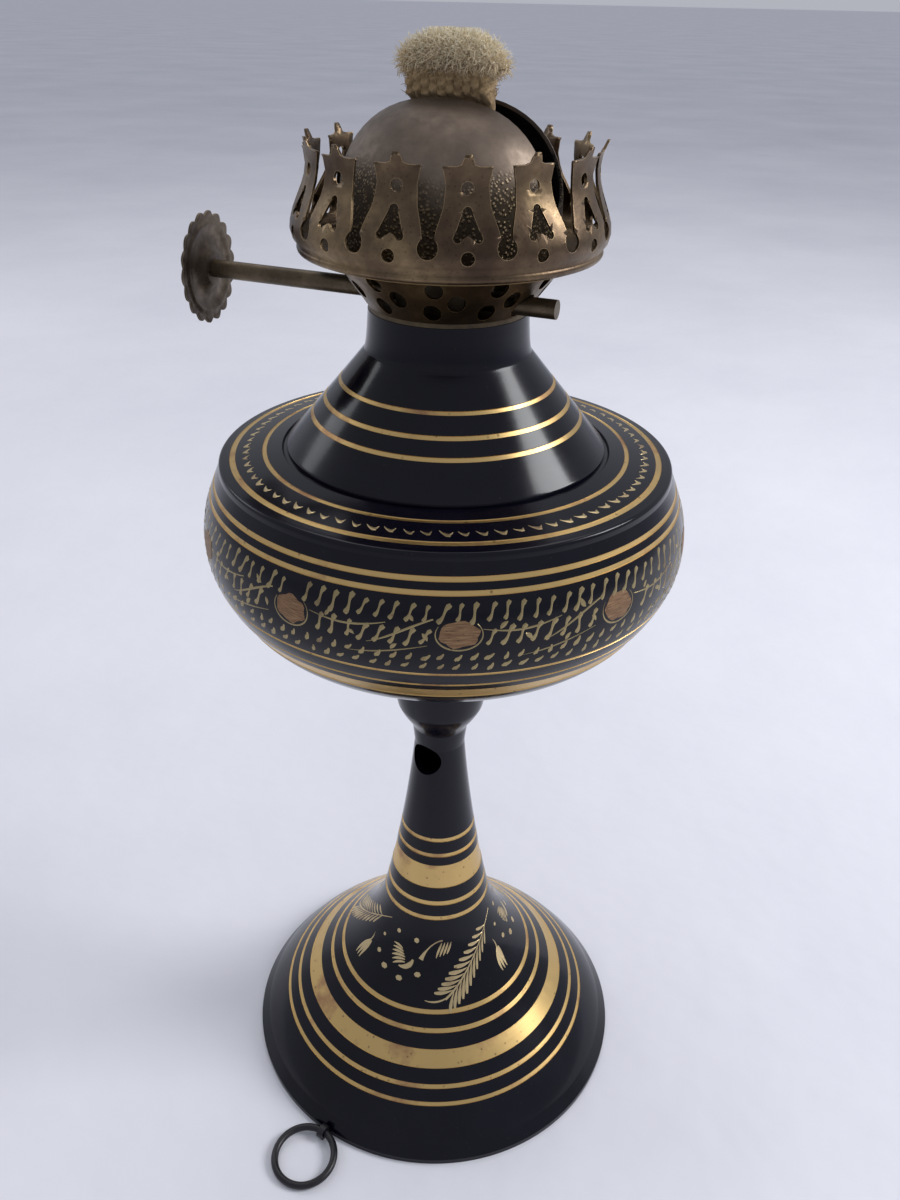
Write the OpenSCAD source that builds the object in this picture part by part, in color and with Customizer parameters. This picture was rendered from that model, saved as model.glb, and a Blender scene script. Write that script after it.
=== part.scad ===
/* [Foot and stem] */
// Radius of the foot where it meets the table
foot_r = 50; // [41.5:0.5:60]
// Height of the foot bell, up to its joint with the stem
foot_h = 47.5; // [40:0.5:57]
// Width of the flat rim under the foot
rim_w = 2.6; // [2:0.1:4]
// Height of the bevelled edge of the foot
rim_h = 4.2; // [3.5:0.1:5]
// Outer radius of the stem where it leaves the foot
stem_foot_r = 13.9; // [12:0.1:16.5]
// Outer radius of the stem at its narrowest, near the top
stem_neck_r = 6.15; // [5.2:0.05:7.4]
// Length of the stem
stem_h = 54.5; // [46:0.5:65]
// Wall of the stem
stem_wall = 1.8; // [1.2:0.1:2]
// Thickness of the solid end of the stem that holds the stud
stem_end = 3.4; // [2.5:0.1:4]
// Radius of the round hole in the side of the stem
side_hole_r = 4.1; // [3.4:0.1:4.9]
// Direction of the side hole, in degrees from the front towards the knob
side_hole_angle = 13; // [0:1:60]
// Length of the stem's straight upper end
stem_head = 5; // [4:0.1:6]
// Flare of the stem at its very top
stem_flare = 0.55; // [0:0.05:0.8]

/* [Font] */
// Height of the turned cup between stem and font
cup_h = 22; // [18:0.5:26]
// Radius of the flat seat between cup and font
seat_r = 12.5; // [11:0.1:15]
// Largest radius of the font
font_r = 51.4; // [43:0.1:61.7]
// Height from the font's seat to its largest radius
belly_h = 33; // [28:0.5:39]
// Height from the largest radius to the rim of the bowl
brow_h = 14.6; // [12:0.1:17.5]
// How far the bowl's rim lies inside its largest radius
brow_in = 4.1; // [2:0.1:6]
// How far the turn of the underside lies inside the largest radius
under_in = 6.4; // [5:0.1:8]
// Height of the turn of the underside above the seat
under_h = 17; // [14:0.5:20]
// Wall of the foot and the font
wall = 1.6; // [1.2:0.1:2]
// Depth of the lip that registers the font's top in the bowl
lip_h = 2; // [1.5:0.1:3]
// Radius of the foot of the cone on the font's top
cone_r = 33.5; // [28:0.5:40]
// Rise of the shoulder from its edge to the cone
shoulder_h = 2; // [1.6:0.1:2.4]
// Height of the cone
cone_h = 19.9; // [16.5:0.1:24]
// Outer radius of the neck where the cone ends
neck_foot_r = 16.8; // [16.4:0.1:19]
// Outer radius of the neck at its top
neck_r = 15.9; // [15.7:0.05:17]
// Height of the neck
neck_h = 8; // [6.7:0.1:9.6]

/* [Stud and nut] */
// Radius of the stud that ties font, cup and stem
stud_r = 2.5; // [2:0.1:2.8]
// Clearance round the stud in the cup and the bowl
stud_gap = 0.2; // [0.1:0.05:0.3]
// Radius of the sealing washer
washer_r = 8; // [6:0.1:9.5]
// Thickness of the sealing washer
washer_t = 1.2; // [0.8:0.1:1.5]
// Height of the nut
nut_h = 4; // [3:0.1:5]
// Radius over the corners of the nut
nut_r = 4.6; // [3.8:0.1:5.5]

/* [Burner] */
// Inner radius of the threaded collar in the neck
collar_bore_r = 13.45; // [12.8:0.05:14]
// Wall of the threaded collar
collar_wall = 1.45; // [1.2:0.05:1.6]
// Length of the threaded collar
collar_h = 7.6; // [6.5:0.1:9]
// Radial clearance between the screw sleeve and the collar
sleeve_gap = 0.05; // [0.02:0.01:0.1]
// Gap under the burner where it seats on the neck
seat_gap = 0.05; // [0.02:0.01:0.1]
// Sheet thickness of the burner's plates
sheet = 0.7; // [0.5:0.05:0.8]
// Thickness of the burner's base plate
plate_t = 0.8; // [0.6:0.05:1]
// Radius of the base of the burner cup
burner_r = 15.8; // [15.2:0.1:16.6]
// Radius of the burner cup below its flange
burner_top_r = 22.2; // [20.5:0.1:24]
// Height of the burner cup
burner_cup_h = 9.65; // [8.5:0.05:11.5]
// Radius of each vent hole in the burner cup
vent_r = 1.7; // [1.4:0.1:1.9]
// Number of groups of three vents round the cup
vent_groups = 11; // [9:1:12]

/* [Gallery] */
// Radius of the rolled bead round the gallery
bead_ring_r = 28.2; // [26.5:0.1:31]
// Radius of the bead's own section
bead_r = 0.9; // [0.7:0.05:1.1]
// Number of prongs
prongs = 14; // [12:1:15]
// Height of the prongs above the gallery floor, without the nib
prong_h = 17.4; // [15:0.1:20.5]
// Height of the nib on each prong
nib_h = 1.9; // [1.4:0.1:2.4]
// Sheet thickness of the prongs
prong_t = 0.5; // [0.4:0.05:0.7]
// Direction of the front prong, in degrees from the front, away from the knob
prong_angle = 2; // [0:0.5:25]

/* [Dome and wick] */
// Radius of the flame dome
dome_r = 20.9; // [19:0.1:25.1]
// Height of the dome above its skirt
dome_h = 18.9; // [16:0.1:22]
// Fullness of the dome's crown, where 2 is a plain ellipse
dome_full = 2.3; // [2:0.05:2.6]
// Height of the dome's straight skirt
skirt_h = 7; // [5.5:0.1:8.4]
// Sheet thickness of the dome
dome_t = 0.6; // [0.4:0.05:0.7]
// Half the width of the flame slot in the dome
slot_half = 4.7; // [4:0.1:5.5]
// Height of the ends of the flame slot above the skirt
slot_lift = 0.5; // [0:0.1:2]
// Width of the flat wick
wick_w = 16; // [14:0.1:19.2]
// Thickness of the flat wick
wick_t = 2.6; // [2.2:0.1:3]
// Clearance on each side of the wick in its tube
wick_gap = 0.3; // [0.2:0.05:0.5]
// Clearance at each edge of the wick in its tube
wick_edge_gap = 0.4; // [0.2:0.05:0.5]
// Sheet thickness of the wick tube
tube_t = 0.5; // [0.4:0.05:0.6]
// Depth of the wick tube's mouth below the top of the dome
tube_sink = 4.4; // [3.7:0.1:5.2]
// Height of the wick tube's foot above the foot of the collar
tube_lift = 1.5; // [1:0.1:1.8]
// Width of the frayed end of the wick
fray_w = 23; // [20:0.5:27]
// Depth of the frayed end of the wick
fray_d = 11.8; // [9.5:0.1:14]
// Height of the frayed end of the wick
fray_h = 6.6; // [5.5:0.1:7.9]
// Length of wick that stands between dome and frayed end
wick_show = 3.9; // [3:0.1:6]
// Height of the wick's tail above the nut
tail_gap = 9.2; // [8:0.1:11]

/* [Winder] */
// Radius of the winder shaft
shaft_r = 1.8; // [1.5:0.05:2.2]
// Radial clearance of the shaft in its bearings
bearing_gap = 0.05; // [0.02:0.01:0.1]
// Height of the shaft above the burner's base plate
shaft_h = 3.35; // [3:0.05:4]
// Reach of the shaft from the lamp's axis to the knob
knob_reach = 51.5; // [44:0.5:61.5]
// Reach of the shaft's free end past the lamp's axis
stub_reach = 23.6; // [22.4:0.1:28]
// Radius over the teeth of the feed sprockets
sprocket_r = 3.6; // [3:0.05:3.8]
// Thickness of each feed sprocket
sprocket_t = 1.6; // [1.2:0.1:2]
// Distance of each sprocket from the lamp's axis
sprocket_x = 4; // [3:0.1:4.8]
// Number of teeth on a sprocket
sprocket_teeth = 8; // [6:1:10]
// Radius of the knob
knob_r = 11.3; // [9.4:0.1:13.6]
// Number of scallops round the knob
scallops = 18; // [14:1:22]
// Thickness of the knob's plate
knob_t = 1; // [0.8:0.1:1.2]
// Radius of the knob's raised boss
boss_r = 5.5; // [4.5:0.1:6.6]

/* [Ring at the rim] */
// Radius of the ring, at the middle of its wire
ring_r = 7.5; // [6.3:0.1:9]
// Radius of the ring's wire
wire_r = 0.9; // [0.7:0.05:1.1]
// Clearance round the wire in its eye
eye_gap = 0.3; // [0.2:0.05:0.4]
// Width of metal round the hole of the eye
eye_wall = 0.6; // [0.5:0.05:0.8]
// Direction of the ring, in degrees from the front towards the knob
ring_angle = 11; // [0:1:60]

/* [Hidden] */
$fn = 72;
over = 1;

// Heights of the joints, from the table up
stem_top_z = foot_h + stem_h;
seat_z = stem_top_z + cup_h;
belly_z = seat_z + belly_h;
bowl_rim_z = belly_z + brow_h;
bowl_rim_r = font_r - brow_in;
lid_edge_z = bowl_rim_z + wall;
cone_z = lid_edge_z + shoulder_h;
neck_z = cone_z + cone_h;
neck_top_z = neck_z + neck_h;
collar_z = neck_top_z - collar_h;
plate_z = neck_top_z + seat_gap;
cup_z = plate_z + plate_t;
floor_z = cup_z + burner_cup_h + sheet;
dome_z = floor_z + sheet;
dome_centre_z = dome_z + skirt_h;
dome_top_z = dome_centre_z + dome_h;
shaft_z = plate_z + shaft_h;
fray_z = dome_top_z + wick_show;

// Feed gear: the sprocket's tips just touch the face of the wick
feed_gap = wick_gap;
tube_w = wick_w + 2 * (wick_edge_gap + tube_t);
tube_d = wick_t + 2 * (wick_gap + tube_t);
shaft_y = -(wick_t / 2 + feed_gap + sprocket_r);
box_t = 0.5;
box_room = 0.4;
bearing_room = 1.3;
box_w = 2 * (sprocket_x + sprocket_t / 2 + box_room + box_t + bearing_room);
box_reach = -shaft_y + sprocket_r + box_room + box_t;
box_low_z = shaft_z - sprocket_r - box_room - box_t;
box_high_z = shaft_z + sprocket_r + box_room + box_t;
tube_z = collar_z + tube_lift;
tube_top_z = dome_top_z - tube_sink;
tail_z = seat_z + wall + washer_t + nut_h + tail_gap;

// Curves
function bez(a, b, c, d, n) =
    [for (i = [0:n]) let (t = i / n, s = 1 - t)
        s * s * s * a + 3 * s * s * t * b + 3 * s * t * t * c + t * t * t * d];
function left(v) = [-v[1], v[0]] / norm(v);
function inside_of(p, d) = [for (i = [1:len(p) - 2]) p[i] + d * left(p[i + 1] - p[i - 1])];
function back(p) = [for (i = [len(p) - 1:-1:0]) p[i]];

foot_line = bez([foot_r - 2.2, rim_h], [foot_r * 0.81, foot_h * 0.337],
                [stem_foot_r * 1.33, foot_h * 0.59], [stem_foot_r, foot_h], 16);
stem_line = bez([stem_foot_r, foot_h], [stem_foot_r * 0.75, foot_h + stem_h * 0.285],
                [stem_neck_r * 1.24, foot_h + stem_h * 0.6],
                [stem_neck_r, stem_top_z - stem_head], 14);
under_r = font_r - under_in;
under_z = seat_z + under_h;
under_line = bez([seat_r, seat_z], [seat_r + under_r * 0.24, seat_z + under_h * 0.3],
                 [under_r - under_in, under_z - under_h * 0.45], [under_r, under_z], 8);
belly_line = bez([under_r, under_z], [under_r + under_in / 2, under_z + under_h * 0.26],
                 [font_r, belly_z - belly_h * 0.21], [font_r, belly_z], 12);
brow_line = bez([font_r, belly_z], [font_r, belly_z + brow_h * 0.41],
                [bowl_rim_r + brow_h * 0.11, bowl_rim_z - brow_h * 0.28],
                [bowl_rim_r, bowl_rim_z], 8);
bowl_line = concat(under_line, [for (i = [1:len(belly_line) - 1]) belly_line[i]],
                   [for (i = [1:len(brow_line) - 1]) brow_line[i]]);

module foot_bell() {
    color("#14131a")
    rotate_extrude()
        polygon(concat([[foot_r - rim_w, 0], [foot_r, 0], [foot_r, rim_h / 3]], foot_line,
                       [[stem_foot_r - wall, foot_h]], back(inside_of(foot_line, wall))));
}

module stem() {
    bore_top = stem_top_z - stem_end;
    color("#14131a")
    difference() {
        rotate_extrude()
            polygon(concat(stem_line,
                           [[stem_neck_r + stem_flare, stem_top_z], [stud_r, stem_top_z],
                            [stud_r, bore_top], [stem_neck_r - stem_wall, bore_top],
                            [stem_neck_r - stem_wall, stem_top_z - stem_head]],
                           back(inside_of(stem_line, stem_wall)),
                           [[stem_foot_r - wall, foot_h]]));
        translate([0, 0, bore_top - side_hole_r - 0.5])
            rotate([90, 0, -side_hole_angle])
                translate([0, 0, over])
                    cylinder(r = side_hole_r, h = 2 * stem_neck_r);
    }
}

module stem_cup() {
    low_r = stem_neck_r + stem_flare;
    color("#14131a")
    rotate_extrude()
        polygon([[stud_r + stud_gap, stem_top_z], [low_r, stem_top_z],
                 [low_r + 1.3, stem_top_z + 1.6], [seat_r - 2.2, stem_top_z + cup_h * 0.3],
                 [seat_r - 1.2, stem_top_z + cup_h * 0.55], [seat_r, seat_z],
                 [stud_r + stud_gap, seat_z]]);
}

module font_stud() {
    color("#8f6f35")
    translate([0, 0, stem_top_z - stem_end])
        cylinder(r = stud_r, h = stem_end + cup_h + wall + washer_t + nut_h + 2.2);
}

module font_bowl() {
    floor_r = seat_r - 1;
    color("#14131a")
    rotate_extrude()
        polygon(concat([[stud_r + stud_gap, seat_z]], bowl_line,
                       [[bowl_rim_r - wall, bowl_rim_z]], back(inside_of(bowl_line, wall)),
                       [[floor_r, seat_z + wall], [stud_r + stud_gap, seat_z + wall]]));
}

module sealing_washer() {
    color("#5b4630")
    translate([0, 0, seat_z + wall])
        difference() {
            cylinder(r = washer_r, h = washer_t);
            translate([0, 0, -over])
                cylinder(r = stud_r + stud_gap, h = washer_t + 2 * over);
        }
}

module font_nut() {
    color("#a98443")
    translate([0, 0, seat_z + wall + washer_t])
        difference() {
            cylinder(r = nut_r, h = nut_h, $fn = 6);
            translate([0, 0, -over])
                cylinder(r = stud_r, h = nut_h + 2 * over);
        }
}

module font_top() {
    slope = (cone_r - neck_foot_r) / cone_h;
    flank = wall * sqrt(1 + slope * slope);
    bore_r = collar_bore_r + collar_wall;
    bore_low_z = min(collar_z, cone_z + (cone_r - flank - bore_r) / slope);
    lip_r = bowl_rim_r - wall - 0.05;
    color("#14131a")
    rotate_extrude()
        polygon([[bowl_rim_r, bowl_rim_z], [bowl_rim_r - 0.5, lid_edge_z], [cone_r, cone_z],
                 [neck_foot_r, neck_z], [neck_r, neck_top_z], [bore_r, neck_top_z],
                 [bore_r, bore_low_z], [cone_r + wall * slope - flank, cone_z - wall],
                 [lip_r - 1.4, bowl_rim_z + 0.2], [lip_r - 1.4, bowl_rim_z - lip_h],
                 [lip_r, bowl_rim_z - lip_h], [lip_r, bowl_rim_z]]);
}

module ring_of(outer, inner, z, h) {
    translate([0, 0, z])
        difference() {
            cylinder(r = outer, h = h);
            translate([0, 0, -over])
                cylinder(r = inner, h = h + 2 * over);
        }
}

module collar_ring() {
    color("#b08d4c")
    ring_of(collar_bore_r + collar_wall, collar_bore_r, collar_z, collar_h);
}

// The eye and its ring, laid out to the front and turned to their place
eye_hole_r = wire_r + eye_gap;
eye_z = eye_hole_r + eye_wall;
eye_y = -(foot_r + 0.5 + wire_r);
eye_t = 1.6;
ring_tilt = asin((eye_z - wire_r - 0.05) / (2 * ring_r));

module ring_eye() {
    color("#26242b")
    rotate([0, 0, -ring_angle])
        difference() {
            union() {
                translate([-eye_t / 2, eye_y, eye_z])
                    rotate([0, 90, 0])
                        cylinder(r = eye_z, h = eye_t);
                translate([-eye_t / 2, eye_y, 0])
                    cube([eye_t, -eye_y, rim_h / 3]);
            }
            translate([-eye_t, eye_y, eye_z])
                rotate([0, 90, 0])
                    cylinder(r = eye_hole_r, h = 2 * eye_t);
            translate([0, 0, -over])
                cylinder(r = foot_r, h = rim_h, $fn = 180);
        }
}

module pull_ring() {
    color("#2a2730")
    rotate([0, 0, -ring_angle])
        translate([0, eye_y, eye_z])
            rotate([ring_tilt, 0, 0])
                translate([0, -ring_r, 0])
                    rotate_extrude()
                        translate([ring_r, 0])
                            circle(r = wire_r, $fn = 36);
}

module screw_sleeve() {
    sleeve_r = collar_bore_r - sleeve_gap;
    color("#7d6132")
    ring_of(sleeve_r, sleeve_r - 0.8, collar_z + 0.2, plate_z - collar_z - 0.2);
}

module tube_outline(w, d) {
    corner = min(d / 2 - 0.01, 1.2);
    square([w, d - 2 * corner], center = true);
    square([w - 2 * corner, d], center = true);
    for (sx = [-1, 1])
        for (sy = [-1, 1])
            translate([sx * (w / 2 - corner), sy * (d / 2 - corner)])
                circle(r = corner, $fn = 24);
}

module box_outline() {
    translate([-box_w / 2, -box_reach])
        square([box_w, box_reach - tube_d / 2]);
}

module base_plate() {
    color("#74592f")
    translate([0, 0, plate_z])
        linear_extrude(height = cup_z - plate_z)
            difference() {
                circle(r = burner_r);
                tube_outline(tube_w, tube_d);
                box_outline();
            }
}

// Height of a vent's row, as a share of the burner cup, and its offset in degrees
vent_rows = [[0.74, 0], [0.47, 11.5], [0.25, -2.5]];
vent_start = 14.7;

module burner_cup() {
    top_z = cup_z + burner_cup_h;
    exit_angle = 90 - asin(-shaft_y / (burner_r + 3));
    color("#6e542e")
    difference() {
        rotate_extrude()
            polygon([[burner_r, cup_z], [burner_top_r, top_z - 1], [burner_top_r + 1, top_z],
                     [bead_ring_r - bead_r - 0.1, top_z], [bead_ring_r - bead_r - 0.1, floor_z],
                     [burner_top_r + 0.7, floor_z], [burner_top_r - sheet - 0.1, top_z - 0.6],
                     [burner_r - sheet, cup_z]]);
        for (g = [0:vent_groups - 1])
            for (row = vent_rows) {
                angle = vent_start + g * 360 / vent_groups + row[1];
                vent_z = cup_z + row[0] * burner_cup_h;
                turn = abs(((angle + 540) % 360) - 180);
                arc = abs(turn - exit_angle) * PI / 180 * (burner_r + 3);
                room = norm([arc, vent_z - shaft_z]) - shaft_r - 0.4 - vent_r;
                if (room > 0.6)
                    rotate([0, 0, angle])
                        translate([0, -(burner_r - 2 * sheet - 1), vent_z])
                            rotate([90, 0, 0])
                                cylinder(r = vent_r, h = burner_top_r - burner_r + 4, $fn = 24);
            }
        translate([-burner_top_r - 2, shaft_y, shaft_z])
            rotate([0, 90, 0])
                cylinder(r = shaft_r + 0.4, h = 2 * burner_top_r + 4);
    }
}

// One prong's outline is what is left between two slots
prong_top_z = dome_z + prong_h;
prong_line = bez([bead_ring_r + 0.4, floor_z + 1], [bead_ring_r + 5.8, floor_z + prong_h * 0.35],
                 [bead_ring_r - 4.7, floor_z + prong_h * 0.67],
                 [bead_ring_r - 0.4, prong_top_z + nib_h], 10);

module slot_shape() {
    pitch_half = PI * (bead_ring_r - 1.5) / prongs;
    side = [[1, 0.37], [1.3, 0.46], [2.2, 0.64], [2.45, 0.83], [2.1, 0.95], [1.9, 1.0]];
    edge = [for (p = side) [p[0], dome_z + p[1] * prong_h]];
    crown = [[pitch_half - 1.9, prong_top_z + 0.05], [pitch_half - 1, prong_top_z + 0.35],
             [pitch_half - 0.8, prong_top_z + 0.5 * nib_h],
             [pitch_half - 0.3, prong_top_z + nib_h], [pitch_half - 0.3, prong_top_z + 5]];
    half = concat(edge, crown);
    polygon(concat(half, [for (p = back(half)) [-p[0], p[1]]]));
    translate([0, dome_z + 0.29 * prong_h])
        circle(r = 1.75, $fn = 32);
}

module prong_holes() {
    low_z = dome_z + 0.385 * prong_h;
    high_z = dome_z + 0.61 * prong_h;
    translate([0, dome_z + 0.81 * prong_h])
        circle(r = 1.05, $fn = 24);
    translate([0, dome_z + 0.205 * prong_h])
        circle(r = 1.15, $fn = 24);
    polygon([[-2.4, low_z], [-0.75, high_z], [0.75, high_z], [2.4, low_z], [1.75, low_z - 0.7],
             [0, low_z + 0.35], [-1.75, low_z - 0.7]]);
    for (p = [[0, high_z, 0.78], [-1.75, low_z, 0.72], [1.75, low_z, 0.72]])
        translate([p[0], p[1]])
            circle(r = p[2], $fn = 24);
}

module outward(angle) {
    rotate([0, 0, angle])
        rotate([90, 0, 0])
            translate([0, 0, bead_ring_r - 7])
                linear_extrude(height = 14)
                    children();
}

module gallery() {
    color("#7a6138")
    union() {
        difference() {
            rotate_extrude()
                polygon(concat(prong_line,
                               [prong_line[len(prong_line) - 1] - [prong_t, 0]],
                               back(inside_of(prong_line, prong_t)),
                               [prong_line[0] - [prong_t, 0]]));
            for (i = [0:prongs - 1]) {
                angle = prong_angle + i * 360 / prongs;
                outward(angle + 180 / prongs)
                    slot_shape();
                outward(angle)
                    prong_holes();
            }
        }
        ring_of(bead_ring_r, dome_r - 3.4, floor_z, sheet);
        translate([0, 0, floor_z + bead_r * 0.7])
            rotate_extrude()
                translate([bead_ring_r, 0])
                    circle(r = bead_r, $fn = 36);
    }
}

module air_plate() {
    plate_r = dome_r - dome_t - 0.1;
    color("#5d4a2b")
    translate([0, 0, dome_z])
        linear_extrude(height = 0.5)
            difference() {
                circle(r = plate_r);
                tube_outline(tube_w, tube_d);
                for (row = [0, 1])
                    for (i = [0:19 + 6 * row])
                        rotate([0, 0, (i + 0.5) * 360 / (20 + 6 * row)])
                            translate([0, tube_w / 2 + 2.4 + row * 2.9])
                                circle(r = 0.8, $fn = 16);
            }
}

// One side of the dome from its axis down: the skirt is straight, the crown is elliptical
function dome_line(r, h) =
    concat([for (a = [90:-6:0]) [r * pow(max(0, cos(a)), 2 / dome_full),
                                 dome_centre_z + h * pow(sin(a), 2 / dome_full)]],
           [[r, dome_z]]);

module dome() {
    color("#7b7064")
    difference() {
        rotate_extrude()
            polygon(concat(dome_line(dome_r, dome_h),
                           back(dome_line(dome_r - dome_t, dome_h - dome_t))));
        translate([-dome_r - over, 0, dome_centre_z + slot_lift + slot_half])
            rotate([90, 0, 90])
                linear_extrude(height = 2 * (dome_r + over)) {
                    circle(r = slot_half, $fn = 36);
                    translate([-slot_half, 0])
                        square([2 * slot_half, dome_h]);
                }
    }
}

module wick_tube() {
    slot_h = 2 * (sprocket_r - 1.2);
    slot_w = sprocket_t + 0.6;
    color("#806536")
    difference() {
        translate([0, 0, tube_z])
            linear_extrude(height = tube_top_z - tube_z)
                difference() {
                    tube_outline(tube_w, tube_d);
                    tube_outline(tube_w - 2 * tube_t, tube_d - 2 * tube_t);
                }
        for (side = [-1, 1])
            translate([side * sprocket_x - slot_w / 2, -tube_d / 2 - over, shaft_z - slot_h / 2])
                cube([slot_w, tube_t + over + 0.01, slot_h]);
    }
}

module winder_box() {
    color("#6b5230")
    difference() {
        translate([-box_w / 2, -box_reach, box_low_z])
            cube([box_w, box_reach - tube_d / 2, box_high_z - box_low_z]);
        translate([-box_w / 2 + box_t, -box_reach + box_t, box_low_z + box_t])
            cube([box_w - 2 * box_t, box_reach, box_high_z - box_low_z - 2 * box_t]);
        translate([-box_w, shaft_y, shaft_z])
            rotate([0, 90, 0])
                cylinder(r = shaft_r + bearing_gap, h = 2 * box_w);
    }
}

module along_shaft(x) {
    translate([x, shaft_y, shaft_z])
        rotate([0, 90, 0])
            children();
}

rivet_r = 1;
rivet_deep = 3;

module winder_shaft() {
    color("#4b3d2a")
    difference() {
        along_shaft(-knob_reach)
            cylinder(r = shaft_r, h = knob_reach + stub_reach);
        along_shaft(-knob_reach - over)
            cylinder(r = rivet_r, h = rivet_deep + over);
    }
}

module sprocket(x) {
    step = 180 / sprocket_teeth;
    root_r = sprocket_r - 1;
    color("#8a7a55")
    along_shaft(x - sprocket_t / 2)
        linear_extrude(height = sprocket_t)
            difference() {
                polygon([for (i = [0:2 * sprocket_teeth - 1])
                    let (r = i % 2 == 0 ? sprocket_r : root_r)
                        r * [cos(i * step), sin(i * step)]]);
                circle(r = shaft_r);
            }
}

module sprocket_left() {
    sprocket(-sprocket_x);
}

module sprocket_right() {
    sprocket(sprocket_x);
}

module winder_knob() {
    steps = 6;
    color("#4e4336")
    union() {
        along_shaft(-knob_reach - knob_t)
            difference() {
                linear_extrude(height = knob_t)
                    polygon([for (i = [0:scallops * steps - 1])
                        let (a = i * 360 / (scallops * steps),
                             r = knob_r - 0.9 + 0.9 * abs(cos(a * scallops / 2)))
                            r * [cos(a), sin(a)]]);
                translate([0, 0, -over])
                    cylinder(r = rivet_r, h = knob_t + 2 * over);
            }
        along_shaft(-knob_reach)
            difference() {
                cylinder(r1 = boss_r, r2 = boss_r - 2, h = 1.4);
                translate([0, 0, -over])
                    cylinder(r = shaft_r, h = 4);
            }
    }
}

module knob_rivet() {
    color("#5a4a33")
    union() {
        along_shaft(-knob_reach - knob_t)
            cylinder(r = rivet_r, h = knob_t + rivet_deep);
        along_shaft(-knob_reach - knob_t - 0.8)
            cylinder(r1 = 1.8, r2 = 2.4, h = 0.8);
    }
}

module wick() {
    end_r = fray_h / 2;
    color("#d8c7a0")
    union() {
        translate([-wick_w / 2, -wick_t / 2, tail_z])
            cube([wick_w, wick_t, fray_z + end_r - tail_z]);
        translate([0, 0, fray_z + end_r])
            hull() {
                for (side = [-1, 1]) {
                    translate([side * (fray_w / 2 - end_r), 0, 0])
                        sphere(r = end_r, $fn = 24);
                    translate([0, side * (fray_d / 2 - end_r), 0])
                        sphere(r = end_r, $fn = 24);
                }
            }
    }
}

foot_bell();
stem();
stem_cup();
font_stud();
font_bowl();
sealing_washer();
font_nut();
font_top();
collar_ring();
ring_eye();
pull_ring();
screw_sleeve();
base_plate();
burner_cup();
gallery();
air_plate();
dome();
wick_tube();
winder_box();
winder_shaft();
sprocket_left();
sprocket_right();
winder_knob();
knob_rivet();
wick();
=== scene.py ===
# %% [markdown]
# # A turned oil lamp with a flat-wick burner
# The lamp is a pedestal of turned brass under black lacquer. A graver has cut rings and small
# marks through the lacquer, so they show as bare brass. On its neck sits a pressed-sheet burner.
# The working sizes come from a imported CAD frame. This script dresses that frame: it spins the
# turned parts again at a finer step with their cut rings, lays the engraving on them, roughens
# the burner, weaves the wick, and gives each finish its own material.

import math

import bmesh
import bpy
import numpy as np
from mathutils import Matrix, Vector


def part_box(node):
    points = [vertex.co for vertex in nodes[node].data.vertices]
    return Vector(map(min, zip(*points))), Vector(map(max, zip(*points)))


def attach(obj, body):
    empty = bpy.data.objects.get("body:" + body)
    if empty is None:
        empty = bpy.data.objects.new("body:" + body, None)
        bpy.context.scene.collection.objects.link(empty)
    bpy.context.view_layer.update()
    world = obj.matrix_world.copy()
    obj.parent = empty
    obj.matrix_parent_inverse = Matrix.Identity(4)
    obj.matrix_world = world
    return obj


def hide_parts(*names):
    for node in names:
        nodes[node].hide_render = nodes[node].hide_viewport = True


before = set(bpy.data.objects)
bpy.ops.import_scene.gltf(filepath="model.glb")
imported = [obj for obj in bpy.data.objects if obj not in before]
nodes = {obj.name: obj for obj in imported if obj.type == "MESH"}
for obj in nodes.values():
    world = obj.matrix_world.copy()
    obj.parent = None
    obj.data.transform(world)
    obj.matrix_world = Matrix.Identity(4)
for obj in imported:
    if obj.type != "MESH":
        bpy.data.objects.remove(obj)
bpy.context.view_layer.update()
MM = 0.001
print("nodes in the frame:", len(nodes))

# %% [markdown]
# ## Camera, floor and light
# The lamp is looked down on from close by, about thirty degrees above the table, with a wide
# lens. That is why the foot looks small and the burner large. The camera is rolled by one degree.

# %% Camera
CAMERA_AZIMUTH = math.radians(22)
CAMERA_PITCH = math.radians(30.23)
CAMERA_ROLL = math.radians(1.2)
CAMERA_BACK = 0.2045
CAMERA_HEIGHT = 0.2556

camera_data = bpy.data.cameras.new("camera")
camera_data.lens = 31.0
camera_data.sensor_width = 36.0
camera_data.shift_x = 0.0062
camera_data.clip_start = 0.01
camera_data.clip_end = 300
camera = bpy.data.objects.new("camera", camera_data)
bpy.context.collection.objects.link(camera)
look = (Matrix.Rotation(CAMERA_AZIMUTH, 4, "Z")
        @ Matrix.Rotation(math.pi / 2 - CAMERA_PITCH, 4, "X")
        @ Matrix.Rotation(CAMERA_ROLL, 4, "Z"))
place = Matrix.Translation((CAMERA_BACK * math.sin(CAMERA_AZIMUTH),
                            -CAMERA_BACK * math.cos(CAMERA_AZIMUTH), CAMERA_HEIGHT))
camera.matrix_world = place @ look
bpy.context.scene.camera = camera
print("camera stands", round(CAMERA_BACK, 3), "m back and", CAMERA_HEIGHT, "m up")

# %% [markdown]
# Soft daylight suits a glossy black object: large lamps give long, gentle highlights, and the
# pale floor fills the brass from below.

# %% Floor and lights
def new_object(name, mesh):
    obj = bpy.data.objects.new(name, mesh)
    bpy.context.collection.objects.link(obj)
    return obj


FLOOR_HALF = 80
AIM_HEIGHT = 0.13

floor_mesh = bpy.data.meshes.new("floor")
floor_mesh.from_pydata([(-FLOOR_HALF, -FLOOR_HALF, 0), (FLOOR_HALF, -FLOOR_HALF, 0),
                        (FLOOR_HALF, FLOOR_HALF, 0), (-FLOOR_HALF, FLOOR_HALF, 0)],
                       [], [(0, 1, 2, 3)])
floor = new_object("floor", floor_mesh)

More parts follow.
